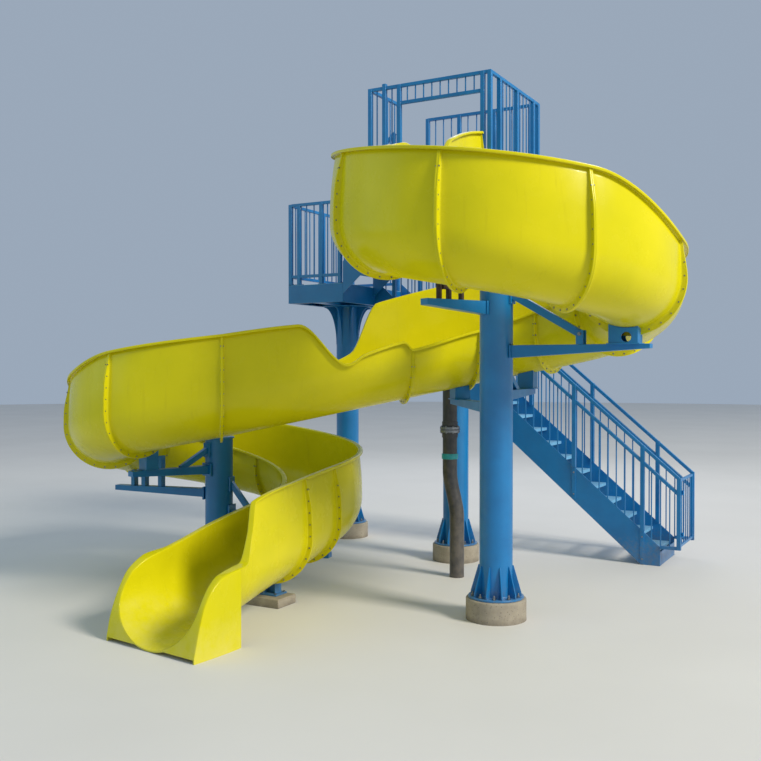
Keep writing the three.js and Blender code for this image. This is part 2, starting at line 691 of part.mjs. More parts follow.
const CAGE = CAGE_TOP - DECK_Z;
const inset = POST / 2;
const corner = POST + GAP;

// The front of the cage: picketed strips beside the start, and a header over it.
function cageFront() {
  const y = PLATFORM.y0 + inset;
  const left = PLATFORM.x0 + inset;
  const right = PLATFORM.x1 - inset;
  const railZ = CAGE_TOP - RAIL / 2;
  const headerZ = CAGE_TOP - HEADER_DROP - RAIL / 2;
  const pieces = [
    bar([left, y, railZ], [right, y, railZ], RAIL, RAIL),
    bar([OPENING.x0, y, headerZ], [OPENING.x1, y, headerZ], RAIL, RAIL),
    bar([left, y, DECK_Z + 120], [OPENING.x0, y, DECK_Z + 120], RAIL, RAIL),
    bar([OPENING.x1, y, DECK_Z + 120], [right, y, DECK_Z + 120], RAIL, RAIL),
  ];
  for (const x of [left, -2148, OPENING.x0, OPENING.x1, right]) {
    pieces.push(post(x, y, DECK_Z + GAP, x === -2148 ? CAGE_TOP + 30 : CAGE_TOP - 4));
  }
  for (const x of [-2255, -2045]) pieces.push(post(x, y, DECK_Z + 120, railZ, PICKET));
  const count = 10;
  for (let i = 1; i < count; i += 1) {
    const x = OPENING.x0 + ((OPENING.x1 - OPENING.x0) * i) / count;
    pieces.push(post(x, y, headerZ, railZ, PICKET));
  }
  return join(pieces);
}

place('platform_guard_front', geometryOf(cageFront()), 'blue');
levelGuard('platform_guard_back', [PLATFORM.x0 + inset, PLATFORM.y1 - inset],
  [PLATFORM.x1 - inset, PLATFORM.y1 - inset], DECK_Z, CAGE, [0, 0.3, 0.62, 1]);
levelGuard('platform_guard_right', [PLATFORM.x1 - inset, PLATFORM.y0 + corner],
  [PLATFORM.x1 - inset, PLATFORM.y1 - corner], DECK_Z, CAGE, [0.17, 0.53, 0.9]);
const LEFT_PANEL = 800;
levelGuard('platform_guard_left', [PLATFORM.x0 + inset, PLATFORM.y0 + corner],
  [PLATFORM.x0 + inset, PLATFORM.y0 + LEFT_PANEL - 22], DECK_Z, CAGE, [0.5, 1]);

levelGuard('landing_guard_left', [LANDING.x0 + inset, LANDING.y0 + inset],
  [LANDING.x0 + inset, LANDING.y1 - inset], LANDING_Z, GUARD_HEIGHT, [0, 0.5, 1]);
levelGuard('landing_guard_front', [LANDING.x0 + corner, LANDING.y0 + inset],
  [LANDING.x1 - 60, LANDING.y0 + inset], LANDING_Z, GUARD_HEIGHT, [0.15, 0.62, 1]);
levelGuard('landing_guard_back', [LANDING.x0 + corner, LANDING.y1 - inset],
  [LANDING.x1 - 60, LANDING.y1 - inset], LANDING_Z, GUARD_HEIGHT, [0.5, 1]);

// Flights: two plate stringers with plate treads between them.
const SLOPE = RISER / GOING;
const lowerNosing = (x) => LANDING_Z - SLOPE * (x - LANDING.x1);
const upperNosing = (x) => LANDING_Z + RISER + SLOPE * (x - LANDING.x1);

function flight(name, outline, yFront, yBack, treads, kick) {
  const pieces = [
    plate(outline, [0, yFront + STRINGER / 2], 0, STRINGER),
    plate(outline, [0, yBack - STRINGER / 2], 0, STRINGER),
  ];
  for (const [x0, x1, top] of treads) {
    pieces.push(box(x0, x1, yFront + STRINGER / 2, yBack - STRINGER / 2, top - TREAD, top));
  }
  if (kick) {
    const [x0, x1, top] = kick;
    pieces.push(box(x0, x1, yFront + STRINGER / 2, yBack - STRINGER / 2, 4, top));
  }
  place(name, geometryOf(join(pieces)), 'blue');
}

const lowerTreads = Array.from({ length: LOWER_RISERS - 1 }, (_, i) => {
  const nosing = LANDING.x1 + (LOWER_RISERS - 1 - i) * GOING;
  return [Math.max(nosing - TREAD_DEPTH, LANDING.x1 + GAP), nosing, RISER * (i + 1)];
});
const footTop = lowerNosing(FOOT_X) + STRINGER_ABOVE;
const lowerOutline = [
  [FOOT_X, 0], [FOOT_X, footTop],
  [LANDING.x1 + GAP, lowerNosing(LANDING.x1) + STRINGER_ABOVE],
  [LANDING.x1 + GAP, lowerNosing(LANDING.x1) - STRINGER_BELOW],
  [LANDING.x1 + (LANDING_Z - STRINGER_BELOW) / SLOPE, 0],
];
flight('lower_flight', lowerOutline, LOWER_NEAR_Y - STRINGER / 2, LOWER_FAR_Y + STRINGER / 2, lowerTreads,
  [FOOT_X - STRINGER, FOOT_X, 172]);

const upperTreads = Array.from({ length: UPPER_RISERS - 1 }, (_, i) => {
  const nosing = LANDING.x1 + i * GOING;
  return [nosing + GAP, Math.min(nosing + TREAD_DEPTH, PLATFORM.x0 - GAP), LANDING_Z + RISER * (i + 1)];
});
const upperOutline = [
  [LANDING.x1 + GAP, upperNosing(LANDING.x1) - STRINGER_BELOW],
  [PLATFORM.x0 - GAP, upperNosing(PLATFORM.x0) - STRINGER_BELOW],
  [PLATFORM.x0 - GAP, DECK_Z],
  [PLATFORM.x0 - STRINGER_ABOVE / SLOPE, DECK_Z],
  [LANDING.x1 + GAP, upperNosing(LANDING.x1) + STRINGER_ABOVE],
];
flight('upper_flight', upperOutline, UPPER_FRONT_Y - STRINGER / 2, UPPER_BACK_Y + STRINGER / 2, upperTreads);

// Stair guards follow the pitch of their flight and stand on its stringers.
const railAbove = GUARD_HEIGHT + 50;
const GUARD_TOP_X = LANDING.x1 + 40;

const stringerRoom = (outline, y) => plate(outline.map(([x, z]) => [x, z + GAP]), [0, y], 0, POST + 4);

function lowerGuard(name, y, hinges) {
  const a = [GUARD_TOP_X, y];
  const b = [NEWEL_X, y];
  const x = (d) => GUARD_TOP_X + d;
  const top = (d) => lowerNosing(x(d)) + railAbove;
  const onStringer = (d) => lowerNosing(x(d)) + STRINGER_ABOVE - 40;
  const marks = [-2900, -2020, -1140, -256, 626, NEWEL_X].map((px) => px - GUARD_TOP_X);
  const body = railing({
    a, b, top,
    foot: (d) => (x(d) > FOOT_X ? 220 : onStringer(d)),
    posts: marks,
    rails: [0, SECOND_RAIL],
    pickets: [[0, marks[0]], ...marks.slice(1).map((mark, i) => [marks[i], mark])],
    picketTop: (d) => top(d) - SECOND_RAIL - 10,
  });
  const toe = bar([FOOT_X + 1, y, 238], [NEWEL_X, y, 238], RAIL, RAIL);
  place(name, geometryOf(join([body, toe, ...hinges]).subtract(stringerRoom(lowerOutline, y))), 'blue');
}

const HINGE = { x: NEWEL_X + 43, y: LOWER_NEAR_Y + 29, pin: 6, sleeve: 13 };
const HINGE_Z = [380, 900];
const lugs = HINGE_Z.flatMap((z) => [
  box(NEWEL_X + 20, HINGE.x + 8, LOWER_NEAR_Y + 5, HINGE.y, z, z + 14),
  cylinder(HINGE.x, HINGE.y, z, z + 14, HINGE.sleeve, 16),
  cylinder(HINGE.x, HINGE.y, z + 7, z + 60, HINGE.pin, 12),
]);
lowerGuard('lower_guard_near', LOWER_NEAR_Y, lugs);
lowerGuard('lower_guard_far', LOWER_FAR_Y, []);

function upperGuard(name, y) {
  const a = [LANDING.x1 + 30, y];
  const b = [PLATFORM.x0 - POST / 2 - 6, y];
  const x = (d) => a[0] + d;
  const run = b[0] - a[0];
  const top = (d) => upperNosing(x(d)) + GUARD_HEIGHT - 60;
  const body = railing({
    a, b, top,
    foot: (d) => Math.min(DECK_Z, upperNosing(x(d)) + STRINGER_ABOVE) - 40,
    posts: [26, run - 26],
    rails: [0, SECOND_RAIL],
    pickets: [[26, run - 26]],
    picketTop: (d) => top(d) - SECOND_RAIL - 10,
  });
  place(name, geometryOf(body.subtract(stringerRoom(upperOutline, y))), 'blue');
}

upperGuard('upper_guard_front', UPPER_FRONT_Y);
upperGuard('upper_guard_back', UPPER_BACK_Y);

// The gate at the foot, hung on the near newel.
function gate() {
  const frame = 30;
  const y0 = LOWER_NEAR_Y + POST / 2 + 8;
  const y1 = LOWER_FAR_Y - POST / 2 - 8;
  const z0 = 250;
  const z1 = 1090;
  const half = frame / 2;
  const pieces = [
    box(NEWEL_X - half, NEWEL_X + half, y0, y0 + frame, z0, z1),
    box(NEWEL_X - half, NEWEL_X + half, y1 - frame, y1, z0, z1),
    box(NEWEL_X - half, NEWEL_X + half, y0, y1, z0, z0 + frame),
    box(NEWEL_X - half, NEWEL_X + half, y0, y1, z1 - frame, z1),
  ];
  const count = Math.round((y1 - y0) / PITCH);
  for (let i = 1; i < count; i += 1) {
    pieces.push(post(NEWEL_X, y0 + ((y1 - y0) * i) / count, z0 + half, z1 - half, PICKET));
  }
  for (const z of HINGE_Z) {
    const low = z + 14 + GAP;
    pieces.push(cylinder(HINGE.x, HINGE.y, low, low + 40, HINGE.sleeve, 16));
    pieces.push(box(NEWEL_X + half - 4, HINGE.x, y0 + 2, y0 + 10, low, low + 40));
  }
  let body = join(pieces);
  for (const z of HINGE_Z) {
    body = body.subtract(cylinder(HINGE.x, HINGE.y, z, z + 80, HINGE.pin + GAP, 12));
  }
  return body;
}

place('stair_gate', geometryOf(gate()), 'blue');

// Water supply pipe, with an offset bend, a flanged joint and a clamp.
const PIPE_R = 85;
const PIPE_LOW = [-1114, 1516];
const PIPE_HIGH = [-1198, 1500];
const PIPE_TOP = 4650;
const BEND = { from: 700, to: 1250, steps: 6 };

function pipe() {
  const ring = (z) => {
    const u = THREE.MathUtils.smoothstep(z, BEND.from, BEND.to);
    return Array.from({ length: 16 }, (_, i) => [
      PIPE_LOW[0] + (PIPE_HIGH[0] - PIPE_LOW[0]) * u + PIPE_R * Math.cos((i / 8) * Math.PI),
      PIPE_LOW[1] + (PIPE_HIGH[1] - PIPE_LOW[1]) * u + PIPE_R * Math.sin((i / 8) * Math.PI),
      z,
    ]);
  };
  const bend = Array.from({ length: BEND.steps + 1 },
    (_, i) => BEND.from + ((BEND.to - BEND.from) * i) / BEND.steps);
  return join([
    loft([0, ...bend, PIPE_TOP].map(ring)),
    cylinder(...PIPE_HIGH, 1700, 1770, PIPE_R + 32, 20),
    cylinder(...PIPE_HIGH, 1385, 1455, PIPE_R + 14, 20),
  ]);
}

place('water_pipe', geometryOf(pipe().subtract(flumeRoom)), 'dark');

// The origin is the middle of the footprint, on the ground.
group.updateMatrixWorld(true);
const whole = new THREE.Box3().setFromObject(group);
const middle = whole.getCenter(new THREE.Vector3());
group.position.set(-middle.x, -middle.y, -whole.min.z);
group.updateMatrixWorld(true);

export default group;
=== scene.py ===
# %% [markdown]
# A water slide tower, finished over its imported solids.
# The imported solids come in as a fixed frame, in metres and with +Z up. They have the right places and
# sizes, but their faces are coarse. This lesson puts the real surfaces over them: a smooth moulded
# flume with bolted seams, turned columns, welded arms and guards, and the finishes of gelcoat, painted
# steel, cast concrete and plastic pipe.

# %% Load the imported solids
import math
import bpy
import numpy as np
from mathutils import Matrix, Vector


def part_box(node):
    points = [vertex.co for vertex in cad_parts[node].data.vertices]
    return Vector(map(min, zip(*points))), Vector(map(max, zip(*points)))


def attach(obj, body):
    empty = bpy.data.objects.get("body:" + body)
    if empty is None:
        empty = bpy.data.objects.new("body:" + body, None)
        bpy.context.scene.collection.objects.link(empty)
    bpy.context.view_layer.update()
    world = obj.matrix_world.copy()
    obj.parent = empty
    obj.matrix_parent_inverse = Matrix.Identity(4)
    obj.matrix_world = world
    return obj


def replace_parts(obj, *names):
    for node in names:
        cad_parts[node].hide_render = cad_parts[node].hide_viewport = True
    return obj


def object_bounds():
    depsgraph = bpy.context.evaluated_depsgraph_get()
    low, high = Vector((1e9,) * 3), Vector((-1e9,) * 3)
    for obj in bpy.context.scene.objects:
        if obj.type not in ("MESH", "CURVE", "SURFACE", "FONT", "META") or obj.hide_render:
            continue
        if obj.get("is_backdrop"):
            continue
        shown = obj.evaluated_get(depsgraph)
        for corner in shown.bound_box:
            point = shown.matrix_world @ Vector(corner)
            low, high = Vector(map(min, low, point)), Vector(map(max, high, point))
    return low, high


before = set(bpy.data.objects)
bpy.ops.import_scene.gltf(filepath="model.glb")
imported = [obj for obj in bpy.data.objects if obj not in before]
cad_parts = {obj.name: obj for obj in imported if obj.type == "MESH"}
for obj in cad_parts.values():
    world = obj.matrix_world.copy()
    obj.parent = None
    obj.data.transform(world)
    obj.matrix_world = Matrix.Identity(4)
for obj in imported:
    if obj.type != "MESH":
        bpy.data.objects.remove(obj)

cad_low, cad_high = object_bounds()
print("solids:", len(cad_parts), "box in metres:", [round(v, 3) for v in cad_high - cad_low])

# %% [markdown]
# Plans of a tower are drawn in millimetres from one column, here the one inside the upper loop. Its
# base plate is round, so the middle of that solid's box gives the column's place in the frame.

# %% Measure places from the upper loop's column
low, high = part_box("column_upper_loop")
ORIGIN = np.array([(low.x + high.x) / 2, (low.y + high.y) / 2, 0.0])


def to_frame(points):
    """Millimetres from the column to metres in the frame: a thousandth of each, plus the column's place."""
    return np.asarray(points, float) / 1000 + ORIGIN


print("upper loop's column stands at", ORIGIN.round(3))

# %% [markdown]
# The photograph was taken with a normal lens from a little above eye height. The lens here is about
# 45 mm on a 36 mm sensor, 2.45 m above the ground, looking almost level. The camera comes first, because
# the rest is judged through it.

# %% Set the camera at the photograph's viewpoint
from mathutils import Matrix, Vector

FOCAL_PX = 949.6
FRAME_PX = 761


def placed(name, data):
    """A new object with this data, linked to the scene."""
    made = bpy.data.objects.new(name, data)
    bpy.context.scene.collection.objects.link(made)
    return made


look = Vector((-0.4873, 0.8733, -0.0123)).normalized()
side_way = look.cross(Vector((0, 0, 1))).normalized()
camera_data = bpy.data.cameras.new("viewpoint")
camera_data.sensor_width = 36
camera_data.lens = 36 * FOCAL_PX / FRAME_PX
camera_data.clip_end = 300
camera = placed("viewpoint", camera_data)
camera.matrix_world = Matrix((side_way, side_way.cross(look), -look)).transposed().to_4x4()
camera.location = to_frame([3543, -8677, 2450])
bpy.context.scene.camera = camera
print("lens:", round(camera_data.lens, 2), "mm, camera at", [round(v, 2) for v in camera.location])

# %% [markdown]
# Every surface in this lesson is a grid of points, worked out for all rows and columns at once. A grid
# whose columns close on themselves is a skin round a path, and a face over its first and last row
# makes it watertight. Its faces point outwards when the volume they enclose comes out positive.

# %% Turn grids of points into closed surfaces
def grid_faces(rows, columns):
    """Quads between each row and the next, with the last column joined to the first."""
    r, c = np.meshgrid(np.arange(rows - 1), np.arange(columns), indexing="ij")
    n = (c + 1) % columns
    quads = [r * columns + c, r * columns + n, (r + 1) * columns + n, (r + 1) * columns + c]
    return np.stack(quads, -1).reshape(-1, 4).tolist()


def outward(points, faces):
    """A closed surface with its faces outwards. Every face is fanned into triangles, and a . (b x c),
    which is six times the volume, is summed over them."""
    total = 0.0
    for size in {len(face) for face in faces}:
        ring = np.array([face for face in faces if len(face) == size])
        for k in range(1, size - 1):
            total += np.sum(points[ring[:, 0]] * np.cross(points[ring[:, k]], points[ring[:, k + 1]]))
    return points, [face[::-1] for face in faces] if total < 0 else faces


def skin(loops):
    """A closed skin over loops (row, column, xyz): quads between the rows and one face over each end."""
    rows, columns = loops.shape[:2]
    faces = grid_faces(rows, columns)
    faces.append(list(range(columns))[::-1])
    faces.append(list(range((rows - 1) * columns, rows * columns)))
    return outward(loops.reshape(-1, 3), faces)


def circle(count, turn=0.0):
    """Cosines and sines of angles that are evenly spaced round a circle."""
    angle = (np.arange(count) + turn) * 2 * np.pi / count
    return np.cos(angle), np.sin(angle)


def around(x, y, radius, z, sides):
    """A skin of circles, with a row of centre, radius and height for each; these may vary round it."""
    c, s = circle(sides)
    return skin(np.stack(np.broadcast_arrays(x + radius * c, y + radius * s, z + 0 * c), -1))


def turned(profile, x, y, sides=96):
    """A profile of (radius, height) rows turned about the vertical axis through (x, y)."""
    radius, z = np.asarray(profile, float).T[..., None]
    return around(x, y, radius, z, sides)


print("from one ring of 96 points to the next:", len(grid_faces(2, 96)), "quads")

# %% [markdown]
# A finished piece is one mesh of one or more closed surfaces. Faces that meet at a sharp angle keep a
# crisp edge and the rest are shaded smooth. Welded steel gets a small rounded edge from a Bevel
# modifier, because a sheared or sawn edge is dressed before it is painted.

# %% Make a piece and put it on its body
CRISP, DRESSED = 38, 40


def make_piece(name, parts, material, body="tower", bevel=0.0, sharp=CRISP):
    """Joins closed surfaces, in millimetres, into one mesh in the frame."""
    starts = np.cumsum([0] + [len(points) for points, _ in parts])
    faces = [[i + start for i in face] for start, (_, part) in zip(starts, parts) for face in part]
    points = to_frame(np.concatenate([points for points, _ in parts]))
    mesh = bpy.data.meshes.new(name)
    mesh.from_pydata(points.tolist(), [], faces)
    mesh.shade_smooth()
    mesh.set_sharp_from_angle(angle=math.radians(sharp))
    mesh.materials.append(material)
    made = placed(name, mesh)
    if bevel:
        edge = made.modifiers.new("dressed_edges", "BEVEL")
        edge.width = bevel / 1000
        edge.segments = 2
        edge.limit_method = "ANGLE"
        edge.angle_limit = math.radians(DRESSED)
    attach(made, body)
    return made


print("edges are crisp from", CRISP, "degrees and rounded on steel from", DRESSED)

# %% [markdown]
# Colours are picked as they look on a screen, in sRGB, while a shader works in linear light. One
# function turns the one into the other, and a second one adds any node with its settings and links. A
# finish is a material whose pattern follows the object's own coordinates, in metres, so a noise of
# scale 1000 / s has blotches about s millimetres across.

# %% Helpers for the finishes
def linear(hex_colour, alpha=1.0):
    """sRGB hex to linear RGBA: c/12.92 below 0.04045 and ((c + 0.055)/1.055)^2.4 above it."""
    srgb = np.array([int(hex_colour[i:i + 2], 16) for i in (1, 3, 5)]) / 255
    light = np.where(srgb <= 0.04045, srgb / 12.92, ((srgb + 0.055) / 1.055) ** 2.4)
    return (*light.tolist(), alpha)


def add(material, kind, inputs, out=0, **settings):
    """Adds a node and gives one of its outputs. Each input, by its name or number, is a value, a hex
    colour or the output that feeds it."""
    tree = material.node_tree
    node = tree.nodes.new("ShaderNode" + kind)
    for key, value in settings.items():
        setattr(node, key, value)
    for key, value in inputs.items():
        if isinstance(value, bpy.types.NodeSocket):
            tree.links.new(value, node.inputs[key])
        else:
            node.inputs[key].default_value = linear(value) if isinstance(value, str) else value
    return node.outputs[out]


def new_finish(name, **values):
    """A material with these values on its shader, and the object's own coordinates."""
    material = bpy.data.materials.new(name)
    material.use_nodes = True
    for key, value in values.items():
        material.node_tree.nodes["Principled BSDF"].inputs[key.replace("_", " ")].default_value = value
    return material, add(material, "TexCoord", {}, "Object")


def feed(material, **sources):
    """Links outputs to inputs of the shader, with _ for a space in their names."""
    tree = material.node_tree
    for key, source in sources.items():
        tree.links.new(source, tree.nodes["Principled BSDF"].inputs[key.replace("_", " ")])


print("a screen's middle grey in linear light:", round(linear("#808080")[0], 3))

# %% [markdown]
# The flume is glass-reinforced polyester, laid up by hand on a polished mould. What shows is the gelcoat, a
# thick pigmented resin: glossy and a little wavy where the glass draws it in, with a faint orange peel.
# Outdoors it chalks slightly in broad patches. Rain leaves thin upright dirt runs over it, and splashes dry
# to a pale film near the ground.

# %% Finish: yellow gelcoat
GELCOAT, where = new_finish("gelcoat_yellow", IOR=1.45, Specular_IOR_Level=0.22, Coat_Weight=0.05,
                            Coat_Roughness=0.08)
chalk = add(GELCOAT, "TexNoise", {"Vector": where, "Scale": 1000 / 900, "Detail": 4, "Roughness": 0.55})
chalk = add(GELCOAT, "MapRange", {0: chalk, 1: 0.35, 2: 0.68})
colour = add(GELCOAT, "Mix", {0: chalk, 6: "#DED312", 7: "#D0C80E"}, 2, data_type="RGBA")
tall = add(GELCOAT, "Mapping", {"Vector": where, "Scale": [1, 1, 1 / 14]})
runs = add(GELCOAT, "TexNoise", {"Vector": tall, "Scale": 1000 / 60, "Detail": 3, "Roughness": 0.6})
runs = add(GELCOAT, "MapRange", {0: runs, 1: 0.6, 2: 0.82, 4: 0.16})
colour = add(GELCOAT, "Mix", {0: runs, 6: colour, 7: "#8F7D12"}, 2, data_type="RGBA")
height = add(GELCOAT, "SeparateXYZ", {"Vector": where}, "Z")
low = add(GELCOAT, "MapRange", {0: height, 1: 0.55, 2: 0.02})
film = add(GELCOAT, "TexNoise", {"Vector": where, "Scale": 1000 / 120, "Detail": 5, "Roughness": 0.65})
film = add(GELCOAT, "Math", {0: low, 1: film}, operation="MULTIPLY")
film = add(GELCOAT, "MapRange", {0: film, 1: 0.2, 2: 0.6, 4: 0.35})
colour = add(GELCOAT, "Mix", {0: film, 6: colour, 7: "#DDD585"}, 2, data_type="RGBA")
gloss = add(GELCOAT, "TexNoise", {"Vector": where, "Scale": 1000 / 260, "Detail": 5, "Roughness": 0.6})
gloss = add(GELCOAT, "MapRange", {0: gloss, 1: 0.3, 2: 0.75, 3: 0.18, 4: 0.34})
wave = add(GELCOAT, "TexNoise", {"Vector": where, "Scale": 1000 / 240, "Detail": 2, "Roughness": 0.5})
wave = add(GELCOAT, "Bump", {"Height": wave, "Distance": 0.0016, "Strength": 1})
# Orange peel is really 2 to 4 mm across, drawn here at 9 mm so that it shows in the render.
peel = add(GELCOAT, "TexNoise", {"Vector": where, "Scale": 1000 / 9, "Detail": 1, "Roughness": 0.55})
peel = add(GELCOAT, "Bump", {"Height": peel, "Distance": 0.00005, "Strength": 1, "Normal": wave})
feed(GELCOAT, Base_Color=colour, Roughness=gloss, Normal=peel)
print("gelcoat:", len(GELCOAT.node_tree.nodes), "nodes")

# %% [markdown]
# The steel is blasted, primed and sprayed with a satin polyurethane, one strong blue for columns, arms
# and stairs alike. Sprayed paint has a fine orange peel. Sun fades it a little in patches, dust settles
# on faces that look up, and the foot of each column collects splashed dirt and a trace of rust.

# %% Finish: blue paint on steel
def blue_paint(name, faded, deep, grit=0.0):
    """Patches from faded to deep, dust where the face looks up and splashes near the ground. Grit, from
    0 to 1, roughens the paint and raises its peel."""
    paint, where = new_finish(name, Roughness=0.36, IOR=1.5, Coat_Weight=0.15, Coat_Roughness=0.2)
    sun = add(paint, "TexNoise", {"Vector": where, "Scale": 1000 / 500, "Detail": 5, "Roughness": 0.6})
    sun = add(paint, "MapRange", {0: sun, 1: 0.3, 2: 0.7})
    colour = add(paint, "Mix", {0: sun, 6: faded, 7: deep}, 2, data_type="RGBA")
    upward = add(paint, "SeparateXYZ", {"Vector": add(paint, "NewGeometry", {}, "Normal")}, "Z")
    upward = add(paint, "MapRange", {0: upward, 1: 0.6, 2: 1.0})
    dust = add(paint, "TexNoise", {"Vector": where, "Scale": 1000 / 70, "Detail": 6, "Roughness": 0.7})
    dust = add(paint, "Math", {0: upward, 1: dust}, operation="MULTIPLY")
    dust = add(paint, "MapRange", {0: dust, 1: 0.3, 2: 0.7, 4: 0.3})
    colour = add(paint, "Mix", {0: dust, 6: colour, 7: "#8AA6B8"}, 2, data_type="RGBA")
    height = add(paint, "SeparateXYZ", {"Vector": where}, "Z")
    low = add(paint, "MapRange", {0: height, 1: 0.62, 2: 0.2})
    splash = add(paint, "TexNoise", {"Vector": where, "Scale": 1000 / 45, "Detail": 6, "Roughness": 0.7})
    splash = add(paint, "Math", {0: low, 1: splash}, operation="MULTIPLY")
    splash = add(paint, "MapRange", {0: splash, 1: 0.34, 2: 0.62, 4: 0.4})
    colour = add(paint, "Mix", {0: splash, 6: colour, 7: "#75716A"}, 2, data_type="RGBA")
    dull = add(paint, "TexNoise", {"Vector": where, "Scale": 1000 / 160, "Detail": 4, "Roughness": 0.6})
    dull = add(paint, "MapRange", {0: dull, 1: 0.3, 2: 0.7, 3: 0.3 + grit, 4: 0.45 + grit})
    # The peel of sprayed paint is 1 to 3 mm across, drawn at 7 mm so that it shows.
    peel = add(paint, "TexNoise", {"Vector": where, "Scale": 1000 / 7, "Detail": 2, "Roughness": 0.55})
    peel = add(paint, "Bump", {"Height": peel, "Distance": (0.08 + 1.2 * grit) / 1000, "Strength": 1})
    wave = add(paint, "TexNoise", {"Vector": where, "Scale": 1000 / 180, "Detail": 2, "Roughness": 0.55})
    wave = add(paint, "Bump", {"Height": wave, "Distance": 0.0004, "Strength": 1, "Normal": peel})
    feed(paint, Base_Color=colour, Roughness=dull, Normal=wave)
    return paint


PAINT = blue_paint("paint_blue_satin", "#0B7ABA", "#0869A6")
# Treads and decks get the blue paint in paler colours: painted light that makes their sunlit tops lighter.
# Sand in the paint makes it rougher and coarser.
LIT_TREAD_PAINT = blue_paint("paint_blue_sanded_painted_lit", "#78B6DA", "#66A6CE", grit=0.3)
print("paint:", len(PAINT.node_tree.nodes), "nodes")

# %% [markdown]
# The footings are cast in round cardboard forms and left bare. Cast concrete is a warm grey with
# cloudy patches, air holes of 2 to 8 mm against the form, and a darker damp band at the ground.

# %% Finish: cast concrete
CONCRETE, where = new_finish("concrete_cast", Roughness=0.85, IOR=1.5)
cloud = add(CONCRETE, "TexNoise", {"Vector": where, "Scale": 1000 / 150, "Detail": 6, "Roughness": 0.65})
cloud = add(CONCRETE, "MapRange", {0: cloud, 1: 0.3, 2: 0.7})
colour = add(CONCRETE, "Mix", {0: cloud, 6: "#AEA593", 7: "#8E8678"}, 2, data_type="RGBA")
sand = add(CONCRETE, "TexNoise", {"Vector": where, "Scale": 1000 / 6, "Detail": 4, "Roughness": 0.7})
sand = add(CONCRETE, "MapRange", {0: sand, 1: 0.35, 2: 0.7, 4: 0.35})
colour = add(CONCRETE, "Mix", {0: sand, 6: colour, 7: "#8A8072"}, 2, data_type="RGBA")
height = add(CONCRETE, "SeparateXYZ", {"Vector": where}, "Z")
low = add(CONCRETE, "MapRange", {0: height, 1: 0.09, 2: 0.0})
damp = add(CONCRETE, "TexNoise", {"Vector": where, "Scale": 1000 / 80, "Detail": 4, "Roughness": 0.55})
damp = add(CONCRETE, "Math", {0: low, 1: damp}, operation="MULTIPLY")
damp = add(CONCRETE, "MapRange", {0: damp, 1: 0.15, 2: 0.5, 4: 0.55})
colour = add(CONCRETE, "Mix", {0: damp, 6: colour, 7: "#6E665B"}, 2, data_type="RGBA")
# One air hole to each cell of 26 mm. It fades out at 10 mm across, a little over the real size, to show.
pit_depth_and_shade = add(CONCRETE, "TexVoronoi", {"Vector": where, "Scale": 1000 / 26}, "Distance")
pit_depth_and_shade = add(CONCRETE, "MapRange", {0: pit_depth_and_shade, 1: 0.1, 2: 0.2})
# Painted shade: each air hole darkens to #6B6358 at its middle, as if shade lay inside it.
colour = add(CONCRETE, "Mix", {0: pit_depth_and_shade, 6: "#6B6358", 7: colour}, 2, data_type="RGBA")
grain = add(CONCRETE, "TexNoise", {"Vector": where, "Scale": 1000 / 9, "Detail": 6, "Roughness": 0.7})
grain = add(CONCRETE, "Bump", {"Height": grain, "Distance": 0.0008, "Strength": 1})
grain = add(CONCRETE, "Bump", {"Height": pit_depth_and_shade, "Distance": 0.002, "Strength": 1, "Normal": grain})
feed(CONCRETE, Base_Color=colour, Normal=grain)
print("concrete:", len(CONCRETE.node_tree.nodes), "nodes")

# %% [markdown]
# The water line is extruded polyethylene pressure pipe, near black and satin, dulled by dust and fine
# scuffs along its length.

# %% Finish: the plastic of the pipe
PIPE, where = new_finish("polyethylene_extruded", Roughness=0.45, IOR=1.5)
along = add(PIPE, "Mapping", {"Vector": where, "Scale": [1, 1, 1 / 12]})
scuffs = add(PIPE, "TexNoise", {"Vector": along, "Scale": 1000 / 14, "Detail": 4, "Roughness": 0.6})
scuffs = add(PIPE, "MapRange", {0: scuffs, 1: 0.55, 2: 0.75, 4: 0.5})
colour = add(PIPE, "Mix", {0: scuffs, 6: "#33353A", 7: "#55585C"}, 2, data_type="RGBA")
height = add(PIPE, "SeparateXYZ", {"Vector": where}, "Z")
low = add(PIPE, "MapRange", {0: height, 1: 2.4, 2: 0.3, 3: 0.35})
dust = add(PIPE, "TexNoise", {"Vector": where, "Scale": 1000 / 90, "Detail": 5, "Roughness": 0.55})
dust = add(PIPE, "Math", {0: low, 1: dust}, operation="MULTIPLY")
dust = add(PIPE, "MapRange", {0: dust, 1: 0.2, 2: 0.6, 4: 0.6})
colour = add(PIPE, "Mix", {0: dust, 6: colour, 7: "#736C62"}, 2, data_type="RGBA")
dull = add(PIPE, "MapRange", {0: scuffs, 1: 0, 2: 0.5, 3: 0.4, 4: 0.65})
along = add(PIPE, "Mapping", {"Vector": where, "Scale": [1, 1, 1 / 8]})
drawn = add(PIPE, "TexNoise", {"Vector": along, "Scale": 1000 / 30, "Detail": 3, "Roughness": 0.6})
drawn = add(PIPE, "Bump", {"Height": drawn, "Distance": 0.0004, "Strength": 1})
feed(PIPE, Base_Color=colour, Roughness=dull, Normal=drawn)
print("pipe:", len(PIPE.node_tree.nodes), "nodes")
